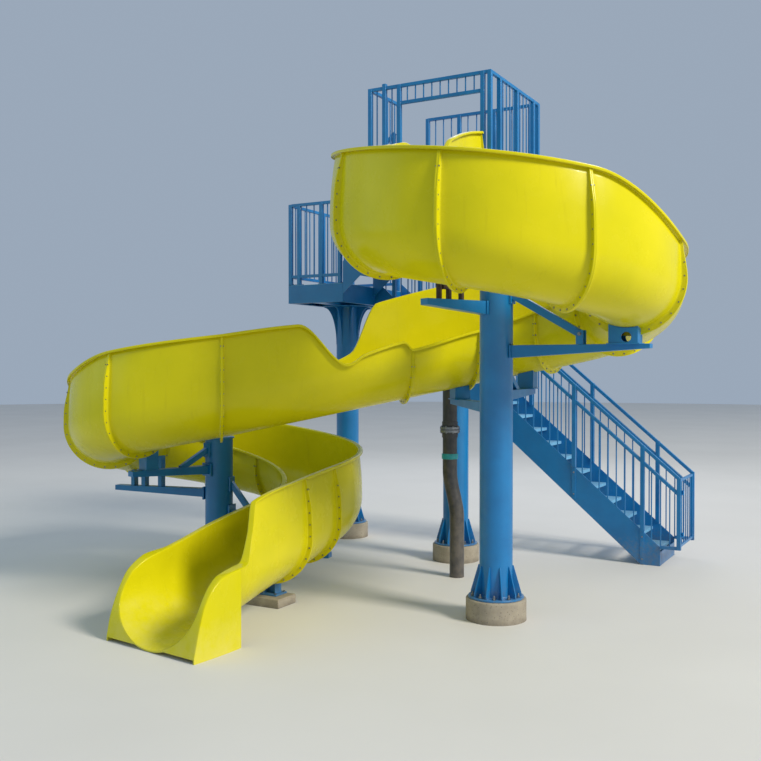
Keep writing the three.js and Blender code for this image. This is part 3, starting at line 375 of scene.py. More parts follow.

# %% [markdown]
# Bolts are zinc-plated: grey, metallic and a little stained. The clamp on the pipe is a band of teal enamel
# over steel, and one bracket under the flume is a dark brown.

# %% Finishes: bolts, clamp and dark brown
ZINC, where = new_finish("steel_zinc_plated", Metallic=1.0, Roughness=0.38)
spots = add(ZINC, "TexNoise", {"Vector": where, "Scale": 1000 / 12, "Detail": 4, "Roughness": 0.65})
spots = add(ZINC, "MapRange", {0: spots, 1: 0.35, 2: 0.7})
colour = add(ZINC, "Mix", {0: spots, 6: "#9B9FA2", 7: "#6E7174"}, 2, data_type="RGBA")
stains = add(ZINC, "TexNoise", {"Vector": where, "Scale": 1000 / 30, "Detail": 3, "Roughness": 0.55})
stains = add(ZINC, "MapRange", {0: stains, 1: 0.62, 2: 0.75, 4: 0.5})
colour = add(ZINC, "Mix", {0: stains, 6: colour, 7: "#7A5B3E"}, 2, data_type="RGBA")
feed(ZINC, Base_Color=colour, Roughness=add(ZINC, "MapRange", {0: spots, 1: 0, 2: 1, 3: 0.3, 4: 0.5}))


def brushed_on(name, size_mm, fresh, worn, dull, peel_mm, detail, depth):
    """A coat whose worn patches, about size_mm across, differ in colour and roughness. Its brush marks
    are peel_mm across and depth metres deep."""
    coat, where = new_finish(name, IOR=1.5)
    wear = add(coat, "TexNoise", {"Vector": where, "Scale": 1000 / size_mm, "Detail": 5, "Roughness": 0.65})
    wear = add(coat, "MapRange", {0: wear, 1: 0.35, 2: 0.7})
    colour = add(coat, "Mix", {0: wear, 6: fresh, 7: worn}, 2, data_type="RGBA")
    rough = add(coat, "MapRange", {0: wear, 1: 0, 2: 1, 3: dull[0], 4: dull[1]})
    peel = add(coat, "TexNoise", {
        "Vector": where, "Scale": 1000 / peel_mm, "Detail": detail, "Roughness": 0.55})
    peel = add(coat, "Bump", {"Height": peel, "Distance": depth, "Strength": 1})
    feed(coat, Base_Color=colour, Roughness=rough, Normal=peel)
    return coat


TEAL = brushed_on("enamel_teal_brushed_on", 25, "#2BA6A8", "#1F8C93", (0.28, 0.42), 8, 2, 0.0001)
# A dark brown with worn patches, for the bracket under the flume.
BROWN = brushed_on("steel_dark_brown", 40, "#4A3426", "#2E2A28", (0.6, 0.8), 6, 4, 0.0003)
print("more finishes:", [finish.name for finish in (ZINC, TEAL, BROWN)])

# %% [markdown]
# A flume is drawn like a road: a centre line in plan, a profile of heights, and a cross-section. The
# plan is two circles of 1240 mm radius joined by a straight line that touches both, first turning left
# and then right. Distance s runs down the middle from the start.

# %% The flume's centre line in plan
DEG = math.pi / 180
LOOP_R = 1240
LOOP_1 = np.array([60.0, 30.0])
LOOP_2 = np.array([-3600.0, 200.0])
PLATFORM_FRONT = 1604
TURN_1, TURN_2 = 7 * 43.3 * DEG, 7 * 43.46 * DEG
END_RUN, END_BEND, END_TURN = 1940, 910, 14 * DEG
between = np.hypot(*(LOOP_2 - LOOP_1))
LEAVE = math.atan2(*(LOOP_2 - LOOP_1)[::-1]) - math.acos(2 * LOOP_R / between)
ENTER = LEAVE - TURN_1
S1 = (PLATFORM_FRONT - LOOP_1[1] - LOOP_R * math.sin(ENTER)) / -math.cos(ENTER)
S2 = S1 + TURN_1 * LOOP_R
S3 = S2 + math.sqrt(between ** 2 - (2 * LOOP_R) ** 2)
S4 = S3 + TURN_2 * LOOP_R
S5 = S4 + END_RUN + END_BEND


def smooth(value, low, high):
    """0 below low, 1 above high, and 3u^2 - 2u^3 between them."""
    u = np.clip((np.asarray(value, float) - low) / (high - low), 0, 1)
    return u * u * (3 - 2 * u)


def centre(s):
    """Place and heading at each distance: a straight run on to each circle, the turn, a straight run off,
    and at the end a bend of 14 degrees over 910 mm, whose chord is 2 r sin(turn / 2)."""
    s = np.asarray(s, float)
    angle = ENTER + (np.clip(s, S1, S2) - S1) / LOOP_R
    heading = angle + np.pi / 2
    off = np.minimum(s - S1, 0) + np.maximum(s - S2, 0)
    x = LOOP_1[0] + LOOP_R * np.cos(angle) + off * np.cos(heading)
    y = LOOP_1[1] + LOOP_R * np.sin(angle) + off * np.sin(heading)
    heading = heading - (heading + np.pi / 2) * (1 - smooth(s, 14, 130))
    angle = LEAVE + np.pi - (np.clip(s, S3, S4) - S3) / LOOP_R
    second = angle - np.pi / 2
    run = np.clip(s - S4, 0, END_RUN)
    bent = np.maximum(s - S4 - END_RUN, 0)
    turn = bent / END_BEND * END_TURN
    chord = bent * np.sinc(turn / 2 / np.pi)
    x2 = LOOP_2[0] + LOOP_R * np.cos(angle) + run * np.cos(second) + chord * np.cos(second - turn / 2)
    y2 = LOOP_2[1] + LOOP_R * np.sin(angle) + run * np.sin(second) + chord * np.sin(second - turn / 2)
    late = s > S3
    return np.where(late, x2, x), np.where(late, y2, y), np.where(late, second - turn, heading)


print("flume runs", round(S5 / 1000, 2), "m along its middle")

# %% [markdown]
# The floor falls 4.4 m in all, steeply on the loops and gently at the end, where speed is lost again.
# The walls are high on the outside of each turn, where speed carries a body up them, and low on the
# inside. Both are smooth curves through a few measured heights.

# %% The floor's fall and the walls' heights
FLOOR = np.array([
    [0, 4450, -0.02], [S1, 3510, -0.22], [S1 + 600, 3396, -0.19], [S2, 2266, -0.2],
    [S3, 1727, -0.19], [S4, 398, -0.175], [S4 + 1170, 246, -0.11], [S5, 6, -0.12]])
T = DEG * LOOP_R
LEFT_WALL = np.array([
    [0, 765], [200, 778], [400, 808], [600, 865], [800, 932], [1000, 990], [1120, 975], [1300, 850],
    [S1, 620], [S2, 600], [S2 + 730, 540], [S2 + 820, 640], [S2 + 1230, 590], [S2 + 1400, 520],
    [S2 + 1930, 1030], [S3, 1075], [S3 + 43 * T, 1095], [S3 + 70 * T, 1000], [S3 + 120 * T, 900],
    [S3 + 220 * T, 930], [S4, 1029]])
RIGHT_WALL = np.array([
    [0, 708], [120, 726], [320, 736], [700, 852], [1064, 925], [S1, 1120], [S1 + 131 * T, 1120],
    [S1 + 175 * T, 800], [S1 + 235 * T, 860], [S1 + 270 * T, 1100], [S2, 1170], [S2 + 950, 1120],
    [S2 + 1245, 610], [S2 + 1500, 550], [S4, 629]])
EXIT_LEFT = np.array([
    [0, 1424], [1116, 1330], [1960, 1225], [2080, 933], [2220, 708], [2330, 700], [2540, 669],
    [2640, 605], [2740, 465], [2795, 290], [2850, 36]])
EXIT_RIGHT = np.array([
    [0, 1024], [1370, 868], [1785, 798], [2345, 710], [2560, 615], [2670, 490], [2750, 350],
    [2815, 190], [2850, 36]])


def cubic_pieces(at, value, slope, s):
    """The cubic curve through (at, value) that has the given slope at each of them."""
    i = np.clip(np.searchsorted(at, s, side="right") - 1, 0, len(at) - 2)
    span = at[i + 1] - at[i]
    u = (s - at[i]) / span
    return (value[i] * (2 * u ** 3 - 3 * u ** 2 + 1) + value[i + 1] * (3 * u ** 2 - 2 * u ** 3)
            + span * (slope[i] * (u ** 3 - 2 * u ** 2 + u) + slope[i + 1] * (u ** 3 - u ** 2)))


def floor_height(s):
    """The cubic curve through the rows of FLOOR, each a distance, a height and a slope."""
    return cubic_pieces(*FLOOR.T, s)


def eased(knots, s):
    """A smooth curve through the knots that never overshoots them: each knot's slope is the harmonic
    mean of its neighbours' slopes, or 0 where these differ in sign."""
    at, value = knots.T
    slope = np.diff(value) / np.diff(at)
    both = slope[:-1] * slope[1:]
    mean = np.where(both > 0, 2 * both / np.where(both > 0, slope[:-1] + slope[1:], 1), 0)
    return cubic_pieces(at, value, np.concatenate([slope[:1], mean, slope[-1:]]), np.clip(s, at[0], at[-1]))


def wall_height(sign, s):
    """Height of the rim over the floor on the left (+1) or right (-1)."""
    loops = eased(LEFT_WALL if sign > 0 else RIGHT_WALL, s)
    out = eased(EXIT_LEFT if sign > 0 else EXIT_RIGHT, s - S4) - floor_height(s)
    return np.where(s > S4, out, loops)


print("the floor falls", round(float(floor_height(0) - floor_height(S5))), "mm")

# %% [markdown]
# The cross-section is a half circle of 455 mm radius that climbs into nearly upright walls, which lean
# in a little towards the rim. The rim is turned outwards into a rounded lip with a short return, as on
# any laid-up moulding: it stiffens the edge and leaves nothing sharp. Where two mouldings meet,
# each has a flange of 55 mm, standing square to the channel, and bolts go through the pair.

# %% The channel's cross-section
BOWL, SHELL, FLANGE = 455, 14, 55
START_WIDER, START_TAPER = (75, -60), 420
LEAN, LEAN_OVER = 50, 625
SIDE_POINTS = 30
LIP_UNDERSIDE = 5
LIP = np.array([
    [0.5, -24], [3, -18.5], [8, -15.5], [20, -14.5], [32, -15], [37, -18], [38.5, -23], [40, -27.5],
    [43, -28], [45, -25], [45, -8], [43.5, -3], [39, -0.5], [24, 0], [6, 0], [-4, -1], [-10, -4.5]])


def half_width(s, sign):
    """455 mm, but over the first 420 mm up to 75 mm more on the left and 60 mm less on the right."""
    return BOWL + np.where(sign > 0, *START_WIDER) * (1 - smooth(s, 0, START_TAPER))


def half_section(width, height, inset):
    """From the bottom to the rim: a quarter circle, then a wall that leans in by 50 (above / 625)^2.
    Gives offsets, heights and the outward direction, with the axes (row, point)."""
    share = np.linspace(0, 1, SIDE_POINTS)
    quarter = np.pi / 2 * BOWL
    wall = np.maximum(24, height)[:, None]
    bowl = BOWL * np.arccos(np.clip(1 - wall / BOWL, -1, 1))
    run = share * np.where(wall > BOWL, quarter + wall - BOWL, bowl)
    turn = np.minimum(run, quarter) / BOWL
    above = np.maximum(0, run - quarter)
    n = (width[:, None] - inset) * np.sin(turn) - LEAN * (above / LEAN_OVER) ** 2
    return n, BOWL - (BOWL - inset) * np.cos(turn) + above, np.sin(turn), -np.cos(turn)


print("the wall leans in by", LEAN, "mm at", LEAN_OVER, "mm over the bowl")

# %% [markdown]
# A shell has two faces, so its outline goes down the outer face from the left rim and up to the right
# one, over the lip, back along the inner face and over the other lip. It closes on itself there, which
# gives the moulding its real thickness without a second surface to keep in step.

# %% The shell's closed outline
def flanged(n, h, dn, dh, flange):
    """The outer face, moved out along its own direction by the flange, and less of it near the rim."""
    out = flange * (0.45 + 0.55 * smooth(h[:, -1:] - h, 0, 330))
    return np.stack([n + out * dn, h + out * dh], -1)


def channel(s, flange):
    """Closed outlines (row, point, offset and height) of the channel: the outer face from the left rim
    to the right one, the lip, the inner face back, and the other lip."""
    flange = flange[:, None]
    halves = []
    for sign in (1, -1):
        width, height = half_width(s, sign), wall_height(sign, s)
        outer = flanged(*half_section(width, height - 30, 0), flange)
        inner = np.stack(half_section(width, height - 12, SHELL)[:2], -1)
        edge = half_section(width, height, 0)[0][:, -1:]
        reach = np.broadcast_to(LIP[:, 0], (len(s), len(LIP)))
        under = np.arange(len(LIP)) < LIP_UNDERSIDE
        reach = np.where(under, np.maximum(reach, np.minimum(flange * 0.45, 36)), reach)
        lip = np.stack([edge + reach, height[:, None] + LIP[:, 1] + 0 * reach], -1)
        halves.append([part * [sign, 1] for part in (outer, lip, inner)])
    (left_outer, left_lip, left_inner), (right_outer, right_lip, right_inner) = halves
    return np.concatenate([
        left_outer[:, ::-1], right_outer[:, 1:], right_lip, right_inner[:, ::-1], left_inner[:, 1:],
        left_lip[:, ::-1]], 1)


def along_path(s, section):
    """Carries each outline to its place: offset n goes left of the heading and height h above the floor."""
    x, y, heading = (value[:, None] for value in centre(s))
    n, h = section[..., 0], section[..., 1]
    return np.stack([x - n * np.sin(heading), y + n * np.cos(heading), floor_height(s)[:, None] + h], -1)


print("outline of", channel(np.array([2000.0]), np.array([0.0])).shape[1], "points")

# %% [markdown]
# Each moulding is one closed skin along its stretch of the path. The rows crowd together at both ends,
# where the flange has a rounded edge and a fillet at its root, and are 35 mm apart between them.

# %% Mould the channel's sections
FLANGE_FACE = np.array([
    [0, 0.97], [1.5, 1], [9, 1], [11, 0.97], [12, 0.26], [13.5, 0.13], [17, 0.04], [23, 0]])
HALF_GAP = 0.15
ROW_PITCH = 35


def moulding_rows(s0, s1):
    """Distances of the rows and how far the flange stands out at each of them."""
    first = s0 + HALF_GAP + FLANGE_FACE[:, 0]
    last = (s1 - HALF_GAP - FLANGE_FACE[:, 0])[::-1]
    middle = np.linspace(first[-1], last[0], max(3, round((last[0] - first[-1]) / ROW_PITCH)))[1:-1]
    grow = FLANGE * np.concatenate([FLANGE_FACE[:, 1], 0 * middle, FLANGE_FACE[::-1, 1]])
    return np.concatenate([first, middle, last]), grow


seams = [S1 + i * (S2 - S1) / 7 for i in range(8)]
seams += [S2 + 730] + [S3 + i * (S4 - S3) / 7 for i in range(7)] + [S4 + 280, S4 + 960]
names = (["flume_start"] + [f"flume_upper_{i}" for i in range(1, 8)] + ["flume_cross_1", "flume_cross_2"]
         + [f"flume_lower_{i}" for i in range(1, 8)] + ["flume_exit_run"])
for name, s0, s1 in zip(names, [0.3] + seams[:-1], seams):
    s, grow = moulding_rows(s0, s1)
    loops = along_path(s, channel(s, grow))
    made = make_piece(name + "_moulding", [skin(loops)], GELCOAT)
    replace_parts(made, name)
print(len(names), "mouldings,", len(seams), "seams")

# %% [markdown]
# The last moulding is the slide's open mouth. Its trough ends between two upright skirts that reach the
# ground. The lip widens into a rounded ledge before them, and both sweep down in a curve while the
# mouth flares a little.

# %% Shape of the exit
SKIRT_S = S4 + 2350
SKIRT_FACE = 540
MOUTH_WIDER = 85
CORNER_IN = np.array([[0.4, -9], [3, -3.5], [9, -0.6], [17, 0]])
CORNER_OUT = np.array([[-1, 0], [-0.5, -0.07], [-0.2, -0.22], [-0.05, -0.5], [0, -1]])


def exit_section(s, flange, skirted):
    """Closed outlines of the exit: skirt, ledge and inner face on one side, the same on the other, then
    the underside. The ledge is as wide as the lip at first and eases out to the skirts' faces."""
    ground = -floor_height(s)[:, None]
    width = BOWL + MOUTH_WIDER * smooth(s, S4 + 2100, S5)
    widening = smooth(s, S4 + 2060, SKIRT_S)[:, None]
    skirted, flange = skirted[:, None], flange[:, None]
    sides = []
    for sign in (1, -1):
        height = wall_height(sign, s)
        edge_in, top = (v[:, -1:] for v in half_section(width, height, SHELL)[:2])
        small = np.clip((top - ground) / 120, 0.12, 1)
        inner = np.stack(half_section(width, height - 13 * small[:, 0], SHELL)[:2], -1)
        bare = half_section(width, height, 0)
        outer, edge = flanged(*bare, flange), bare[0][:, -1:]
        outer[:, -1:, 1] = top - SHELL
        outer[..., 1] = np.where(skirted, np.maximum(outer[..., 1], ground), outer[..., 1])
        reach = edge + 45 + (SKIRT_FACE - edge) * widening
        foot = np.where(skirted, ground, top - SHELL - 1)
        round_off = (9 + 17 * widening) * small
        inner_edge = np.stack([edge_in + CORNER_IN[:, 0] * small, top + CORNER_IN[:, 1] * small], -1)
        drop = np.minimum(round_off, (top - foot) * 0.8)
        outer_edge = np.stack([reach + CORNER_OUT[:, 0] * round_off, top + CORNER_OUT[:, 1] * drop], -1)
        lowest = np.stack([reach, foot], -1)
        within = np.where(skirted, reach - SHELL, reach - 3)
        hollow = np.where(skirted, np.maximum(foot + 1, top - SHELL), foot + 0.5)
        under = np.concatenate([np.stack([within, foot], -1), np.stack([within, hollow], -1)], 1)
        parts = (inner, inner_edge, outer_edge, lowest, under, outer)
        sides.append([part * [sign, 1] for part in parts])
    left, right = sides
    down = [part[:, ::-1] for part in left[3::-1]]
    up = [right[0][:, 1:], *right[1:4]]
    below = [right[4], right[5][:, ::-1], left[5][:, 1:], left[4][:, ::-1]]
    return np.concatenate(down + up + below, 1)


print("the skirts are", round(S5 - SKIRT_S), "mm long")

# %% [markdown]
# The exit's rows crowd together at its one flange, where the skirts start, and towards the mouth, where
# the lip drops steeply.

# %% Mould the exit
start = S4 + 960 + HALF_GAP + FLANGE_FACE[:, 0]
trough = np.linspace(start[-1], SKIRT_S - 1, 44)[1:]
mouth = SKIRT_S + (S5 - SKIRT_S) * np.sin(np.linspace(0, np.pi / 2, 34))
s = np.concatenate([start, trough, mouth])
grow = np.concatenate([FLANGE * FLANGE_FACE[:, 1], 0 * trough, 0 * mouth])
loops = along_path(s, exit_section(s, grow, s >= SKIRT_S))
exit_mould = make_piece("flume_exit_moulding", [skin(loops)], GELCOAT)
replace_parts(exit_mould, "flume_exit")
print("exit moulding:", len(exit_mould.data.vertices), "points")

# %% [markdown]
# Some seventeen hexagon bolts hold each pair of flanges, 120 mm apart. Each head or nut is five rings
# of twelve or six points, so hundreds of them stay light.

# %% Shape of a bolt
UP = (0.0, 0, 1)


def hexagon_bolts(places, axes, across=17.0, height=7.0):
    """Washer and head of each bolt: rings of twelve and six points at radii and heights along its axis,
    which is one for all or one for each."""
    axes = np.broadcast_to(np.asarray(axes, float), np.shape(places))
    aside = np.cross(axes, np.where(np.abs(axes[:, 2:]) < 0.9, [[0, 0, 1]], [[1, 0, 0]]))
    aside /= np.linalg.norm(aside, axis=-1, keepdims=True)
    third = np.cross(axes, aside)
    made = []
    corner = across / math.sqrt(3)
    washer = [(across * 0.66, -0.5), (across * 0.66, 1.6)]
    head = [(corner, 1.0), (corner, height - 1), (corner * 0.86, height + 1)]
    for rings, sides in ((washer, 12), (head, 6)):
        c, s = (value[:, None] for value in circle(sides))
        for at, along, u, v in zip(places, axes, aside, third):
            loops = [at + along * rise + radius * (c * u + s * v) for radius, rise in rings]
            made.append(skin(np.array(loops)))
    return made


print("surfaces of a bolt:", len(hexagon_bolts([(0, 0, 0)], UP)))

# %% [markdown]
# A seam is drilled along the middle of its flanges, evenly round the girth of the shell, and takes a
# head on one side and a nut on the other.

# %% Bolt the seams
BOLT_PITCH, BOLT_OUT = 120, 31


def seam_bolts(s):
    """Places in the middle of the flange at seam s, evenly spaced along its girth, and the heading there."""
    s = np.array([s])
    found = []
    for sign in (1, -1):
        n, h, dn, dh = (v[0] for v in half_section(half_width(s, sign), wall_height(sign, s), 0))
        n, h = n + BOLT_OUT * dn, h + BOLT_OUT * dh
        girth = np.concatenate([[0], np.cumsum(np.hypot(np.diff(n), np.diff(h)))])
        marks = np.arange(BOLT_PITCH / 2, girth[-1] - 110, BOLT_PITCH)
        found.append(np.stack([sign * np.interp(marks, girth, n), np.interp(marks, girth, h)], -1))
    heading = centre(s)[2][0]
    return along_path(s, np.concatenate(found)[None])[0], np.array([math.cos(heading), math.sin(heading), 0])


for label, group in (("upper", seams[:9]), ("lower", seams[9:])):
    parts = []
    for seam in group:
        places, way = seam_bolts(seam)
        for side in (1, -1):
            parts += hexagon_bolts(places + side * 11 * way, side * way, 14, 6)
    make_piece(f"seam_bolts_{label}", parts, ZINC, sharp=30)
    print(label, "seams:", len(parts) // 2, "heads and nuts")

# %% [markdown]
# What stands on the channel's underside has to know its height at any point in plan. The nearest point
# of the centre line gives the distance s and the side offset n, and the bowl's circle gives the rise.

# %% Find the channel's underside
def underside(x, y, s0, s1):
    """Height of the outer face over plan points near s0..s1: floor + R (1 - sqrt(1 - (n / width)^2))."""
    s = np.linspace(s0, s1, 500)
    cx, cy, heading = centre(s)
    x, y = np.asarray(x, float)[..., None], np.asarray(y, float)[..., None]
    near = ((x - cx) ** 2 + (y - cy) ** 2).argmin(-1)
    dx, dy = x[..., 0] - cx[near], y[..., 0] - cy[near]
    n = -dx * np.sin(heading[near]) + dy * np.cos(heading[near])
    share = np.clip(np.abs(n) / half_width(s[near], n), 0, 0.999)
    return floor_height(s[near]) + BOWL * (1 - np.sqrt(1 - share ** 2))


loop_front = underside(*LOOP_1 - [0, LOOP_R], S1, S2)
print("the upper loop's shell is", round(float(loop_front)), "mm up at its front")

# %% [markdown]
# The steelwork is cut from flat plate, bar and tube. Each of these is a skin too, between an outline
# and the same outline moved by its thickness or its length.

# %% Welded plates and bars
def plate(outline, origin, angle, thickness):
    """A flat plate: its outline (u, z) stands in the upright plane through origin that points along
    angle, with half of its thickness on each side."""
    u, z = np.asarray(outline, float).T
    way = np.array([math.cos(angle), math.sin(angle)])
    aside = np.array([-way[1], way[0]])
    return skin(np.array([
        np.column_stack([np.asarray(origin[:2]) + u[:, None] * way + off * aside, z])
        for off in (-thickness / 2, thickness / 2)]))


def bar(start, end, width, height, end_height=None):
    """A straight bar of rectangular section, its height in the upright plane. With end_height its top
    stays straight and its underside rises."""
    start, end = np.asarray(start, float), np.asarray(end, float)
    way = (end - start) / np.linalg.norm(end - start)
    aside = np.cross([0, 0, 1], way)
    aside = aside / np.linalg.norm(aside)
    up = np.cross(way, aside)
    top, half = height / 2, width / 2
    ends = ((start, -top), (end, -top if end_height is None else top - end_height))
    return skin(np.array([[at + w * aside + h * up for w, h in (
        (-half, lowest), (half, lowest), (half, top), (-half, top))] for at, lowest in ends]))


def block(x0, x1, y0, y1, z0, z1):
    """A rectangular block between two corners."""
    corners = [(x0, y0), (x1, y0), (x1, y1), (x0, y1)]
    return skin(np.array([[(x, y, z) for x, y in corners] for z in (z0, z1)], float))


def post(x, y, z0, z1, width=50):
    """An upright bar of square section from z0 to z1, with its middle at (x, y)."""
    half = width / 2
    return block(x - half, x + half, y - half, y + half, z0, z1)


def steel(name, parts, bevel=2.5, body="tower"):
    """A piece of welded and painted steel."""
    return make_piece(name, parts, PAINT, body, bevel)


print("a bar has", len(bar((0, 0, 0), (1, 0, 0), 1, 1)[1]), "faces")

# %% [markdown]
# A column is a 324 mm steel pipe welded to a thick round base plate, with ten tapered gussets between
# them. The plate stands on its footing and is held by anchor bolts between the gussets. A pipe under a
# deck has a wide head plate on eight curved gussets instead of a cap. Pipe, welds and plates are turned
# from one profile, so that no seam shows between them.

# %% Shapes of a column
SHAFT_R = 162
FOOTING_H = 212
PLATE_TOP = FOOTING_H + 20
GUSSETS, ANCHOR_R = 10, 232
COLUMNS = {
    "upper_loop": (0, 0, 3300, False), "lower_loop": (-3600, 200, 1650, False),
    "platform": (-1549, 2434, 4271, True), "landing": (-3661, 3245, 3366, True)}
BASE_PROFILE = [(269, 0), (272, 3), (272, 17), (269, 20), (171, 20), (166, 22), (163, 26), (162, 34)]
CAP_PROFILE = [(162, -30), (164, -24), (169, -20), (178, -20), (180, -18), (180, -3), (177, 0)]
HEAD_PROFILE = [(162, -30), (165, -22), (171, -17), (350, -17), (353, -14), (353, -3), (350, -0.3)]


def column_shell(x, y, top, headed):
    """Plate edge, weld fillet and shaft, then a cap or a head plate, as heights over foot and top."""
    profile = [(r, FOOTING_H + z) for r, z in BASE_PROFILE]
    return turned(profile + [(r, top + z) for r, z in (HEAD_PROFILE if headed else CAP_PROFILE)], x, y)


def base_gussets(x, y):
    """Upright plates at even angles round the shaft, 248 mm out at the foot and tapered above it."""
    foot = FOOTING_H + 16
    outline = [(150, foot), (248, foot), (248, foot + 36), (SHAFT_R + 10, foot + 300), (150, foot + 300)]
    return [plate(outline, (x, y), (i + 0.5) * 360 / GUSSETS * DEG, 12) for i in range(GUSSETS)]


def head_gussets(x, y, top):
    """Each gusset's free edge is a quarter of an ellipse from the head plate in to the shaft."""
    turn = np.linspace(0, np.pi / 2, 14)
    curve = np.column_stack([345 - (345 - SHAFT_R - 6) * np.sin(turn), top - 30 - 530 * (1 - np.cos(turn))])
    outline = np.concatenate([[[150, top - 5], [345, top - 5]], curve, [[150, top - 560]]])
    return [plate(outline, (x, y), i * 45 * DEG, 12) for i in range(8)]


def ring_places(x, y, radius, z, count):
    """Centre + radius (cos a, sin a) at evenly spaced angles a, all at height z."""
    c, s = circle(count)
    return np.column_stack([x + radius * c, y + radius * s, np.full(count, float(z))])


print("plates round a foot:", len(base_gussets(0, 0)), "and under a head:", len(head_gussets(0, 0, 3000)))

# %% [markdown]
# Each column is now one piece. The anchor bolts are another, because they are plated and not painted.

# %% Raise the four columns
anchors = []
for label, (x, y, top, headed) in COLUMNS.items():
    parts = [column_shell(x, y, top, headed)] + base_gussets(x, y)
    if headed:
        parts += head_gussets(x, y, top)
    made = steel(f"column_{label}_pipe", parts, 2)
    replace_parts(made, f"column_{label}")
    nuts = ring_places(x, y, ANCHOR_R, PLATE_TOP, GUSSETS)
    anchors += hexagon_bolts(nuts, UP, across=30, height=19)
    stud = [(9, PLATE_TOP - 1), (9, PLATE_TOP + 36), (7, PLATE_TOP + 40)]
    anchors += [turned(stud, *nut[:2], sides=16) for nut in nuts]
make_piece("anchor_bolts", anchors, ZINC, sharp=30)
print("columns:", list(COLUMNS), "anchor nuts:", GUSSETS * len(COLUMNS))

# %% [markdown]
# The footings rise from the ground as short round pads, poured in a form and trowelled on top, so
# their side is upright and slightly uneven and their upper edge is rounded. A square block of the same
# concrete carries the stand under the exit.

# %% Cast the footings and the exit's block
def footing_surface(x, y, height=FOOTING_H - 0.3, radius=298, sides=128):
    """A turned profile whose radius wavers by up to 2 mm: r + sin(3a) + 0.6 sin(7a + z / 40)."""
    edge = np.linspace(0, np.pi / 2, 7)[1:]
    r = np.concatenate([np.full(8, radius - 2.0), radius - 18 + 16 * np.cos(edge)])[:, None]
    z = np.concatenate([np.linspace(0, height - 16, 8), height - 16 + 16 * np.sin(edge)])[:, None]
    angle = np.arange(sides) * 2 * np.pi / sides
    return around(x, y, r + np.sin(3 * angle) + 0.6 * np.sin(7 * angle + z / 40), z, sides)


for label, (x, y, _, _) in COLUMNS.items():
    made = make_piece(f"footing_{label}_cast", [footing_surface(x, y)], CONCRETE, sharp=60)
    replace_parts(made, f"footing_{label}")
cast_block = block(-2630, -2067, -762, -442, 0, 94.7)
made = make_piece("exit_support_block_cast", [cast_block], CONCRETE, bevel=8)
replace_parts(made, "exit_support_block")
print("footings:", len(COLUMNS), "round and one block of 563 x 320 x 95 mm")

# %% [markdown]
# The water pipe comes up out of the ground, swings aside in a long bend, and rises to the underside of
# the start. It is a circle carried up a path whose side step follows an S curve. The top is cut to the
# channel. A pair of bolted flanges joins its two lengths, and a band clamps it below them.

# %% Run the water pipe
PIPE_R = 85
LOW_END = np.array([-1114.0, 1516])
HIGH_END = np.array([-1198.0, 1500])


def pipe_surface():
    """Centre = low end + (high end - low end) u, with u = 3t^2 - 2t^3 over heights 700 to 1250 mm."""
    z = np.concatenate([[0, 680], np.linspace(700, 1250, 26), [1300, 4300, 4420]])[:, None]
    middle = LOW_END + (HIGH_END - LOW_END) * smooth(z, 700, 1250)
    x, y = HIGH_END[:, None] + PIPE_R * np.array(circle(48))
    heights = np.vstack([np.tile(z[:-1], 48), underside(x, y, 0, 400) + 4])
    return around(middle[:, :1], middle[:, 1:], PIPE_R, heights, 48)


def ring_band(proud, low_z, high_z, soft=3):
    """A flat band that stands proud of the upper length of pipe, with softened edges."""
    inner, outer = PIPE_R - 6, PIPE_R + proud
    return turned([(inner, low_z), (outer - soft, low_z), (outer, low_z + soft), (outer, high_z - soft),
                   (outer - soft, high_z), (inner, high_z)], *HIGH_END, sides=72)


collar = [ring_band(8, 1640, 1702), ring_band(8, 1768, 1830)]
pipe = make_piece("water_pipe_line", [pipe_surface()] + collar, PIPE)
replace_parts(pipe, "water_pipe")
make_piece("pipe_flange_rings", [ring_band(32, 1701, 1733), ring_band(32, 1737, 1769)], ZINC)
make_piece("pipe_clamp", [ring_band(11, 1388, 1452, 4)], TEAL)
bolts = [bolt for z, way in ((1769, 1), (1701, -1)) for bolt in hexagon_bolts(
    ring_places(*HIGH_END, PIPE_R + 20, z, 8), (0, 0, way), 19, 9)]
make_piece("pipe_flange_bolts", bolts, ZINC, sharp=30)
print("pipe up to", round(max(v.co.z for v in pipe.data.vertices), 3), "m")

# %% [markdown]
# The flume hangs on arms that are welded to the columns: a tapered box beam, a saddle under the shell
# and a square strut. The saddle is a box of four plates with their top edges cut to the shell and
# notched where a pair of flanges passes. Open legs stand where the arm reaches past the channel.

# %% Shapes of the arms
def on_arm(arm, radius, z, side=0.0):
    """The point at radius from the column's axis along an arm, side to its left, at height z. An arm is
    its column's name and its direction in degrees."""
    x, y = COLUMNS[arm[0]][:2]
    c, s = math.cos(arm[1] * DEG), math.sin(arm[1] * DEG)
    return np.array([x + radius * c - side * s, y + radius * s + side * c, z])


def arm_bar(arm, start, end, width, height, end_height=None, side=0.0):
    """A bar between two points (radius, height) of an arm."""
    return bar(on_arm(arm, *start, side), on_arm(arm, *end, side), width, height, end_height)


def under_shell(start, end, low, high, thickness, path):
    """An upright plate whose top edge is the lower of high and the shell's underside, 1 mm clear of it."""
    step = (end - start)[:2]
    length = np.linalg.norm(step)
    aside = np.array([-step[1], step[0]]) / length
    share = np.linspace(0, 1, max(2, int(length / 12)))[:, None]
    loops = []
    for off in (-thickness / 2, thickness / 2):
        plan = start[:2] + share * step + off * aside
        top = np.minimum(high, underside(plan[:, 0], plan[:, 1], *path) - 1)
        lower = np.column_stack([plan[[-1, 0]], [low, low]])
        loops.append(np.concatenate([np.column_stack([plan, top]), lower]))
    return skin(np.array(loops))


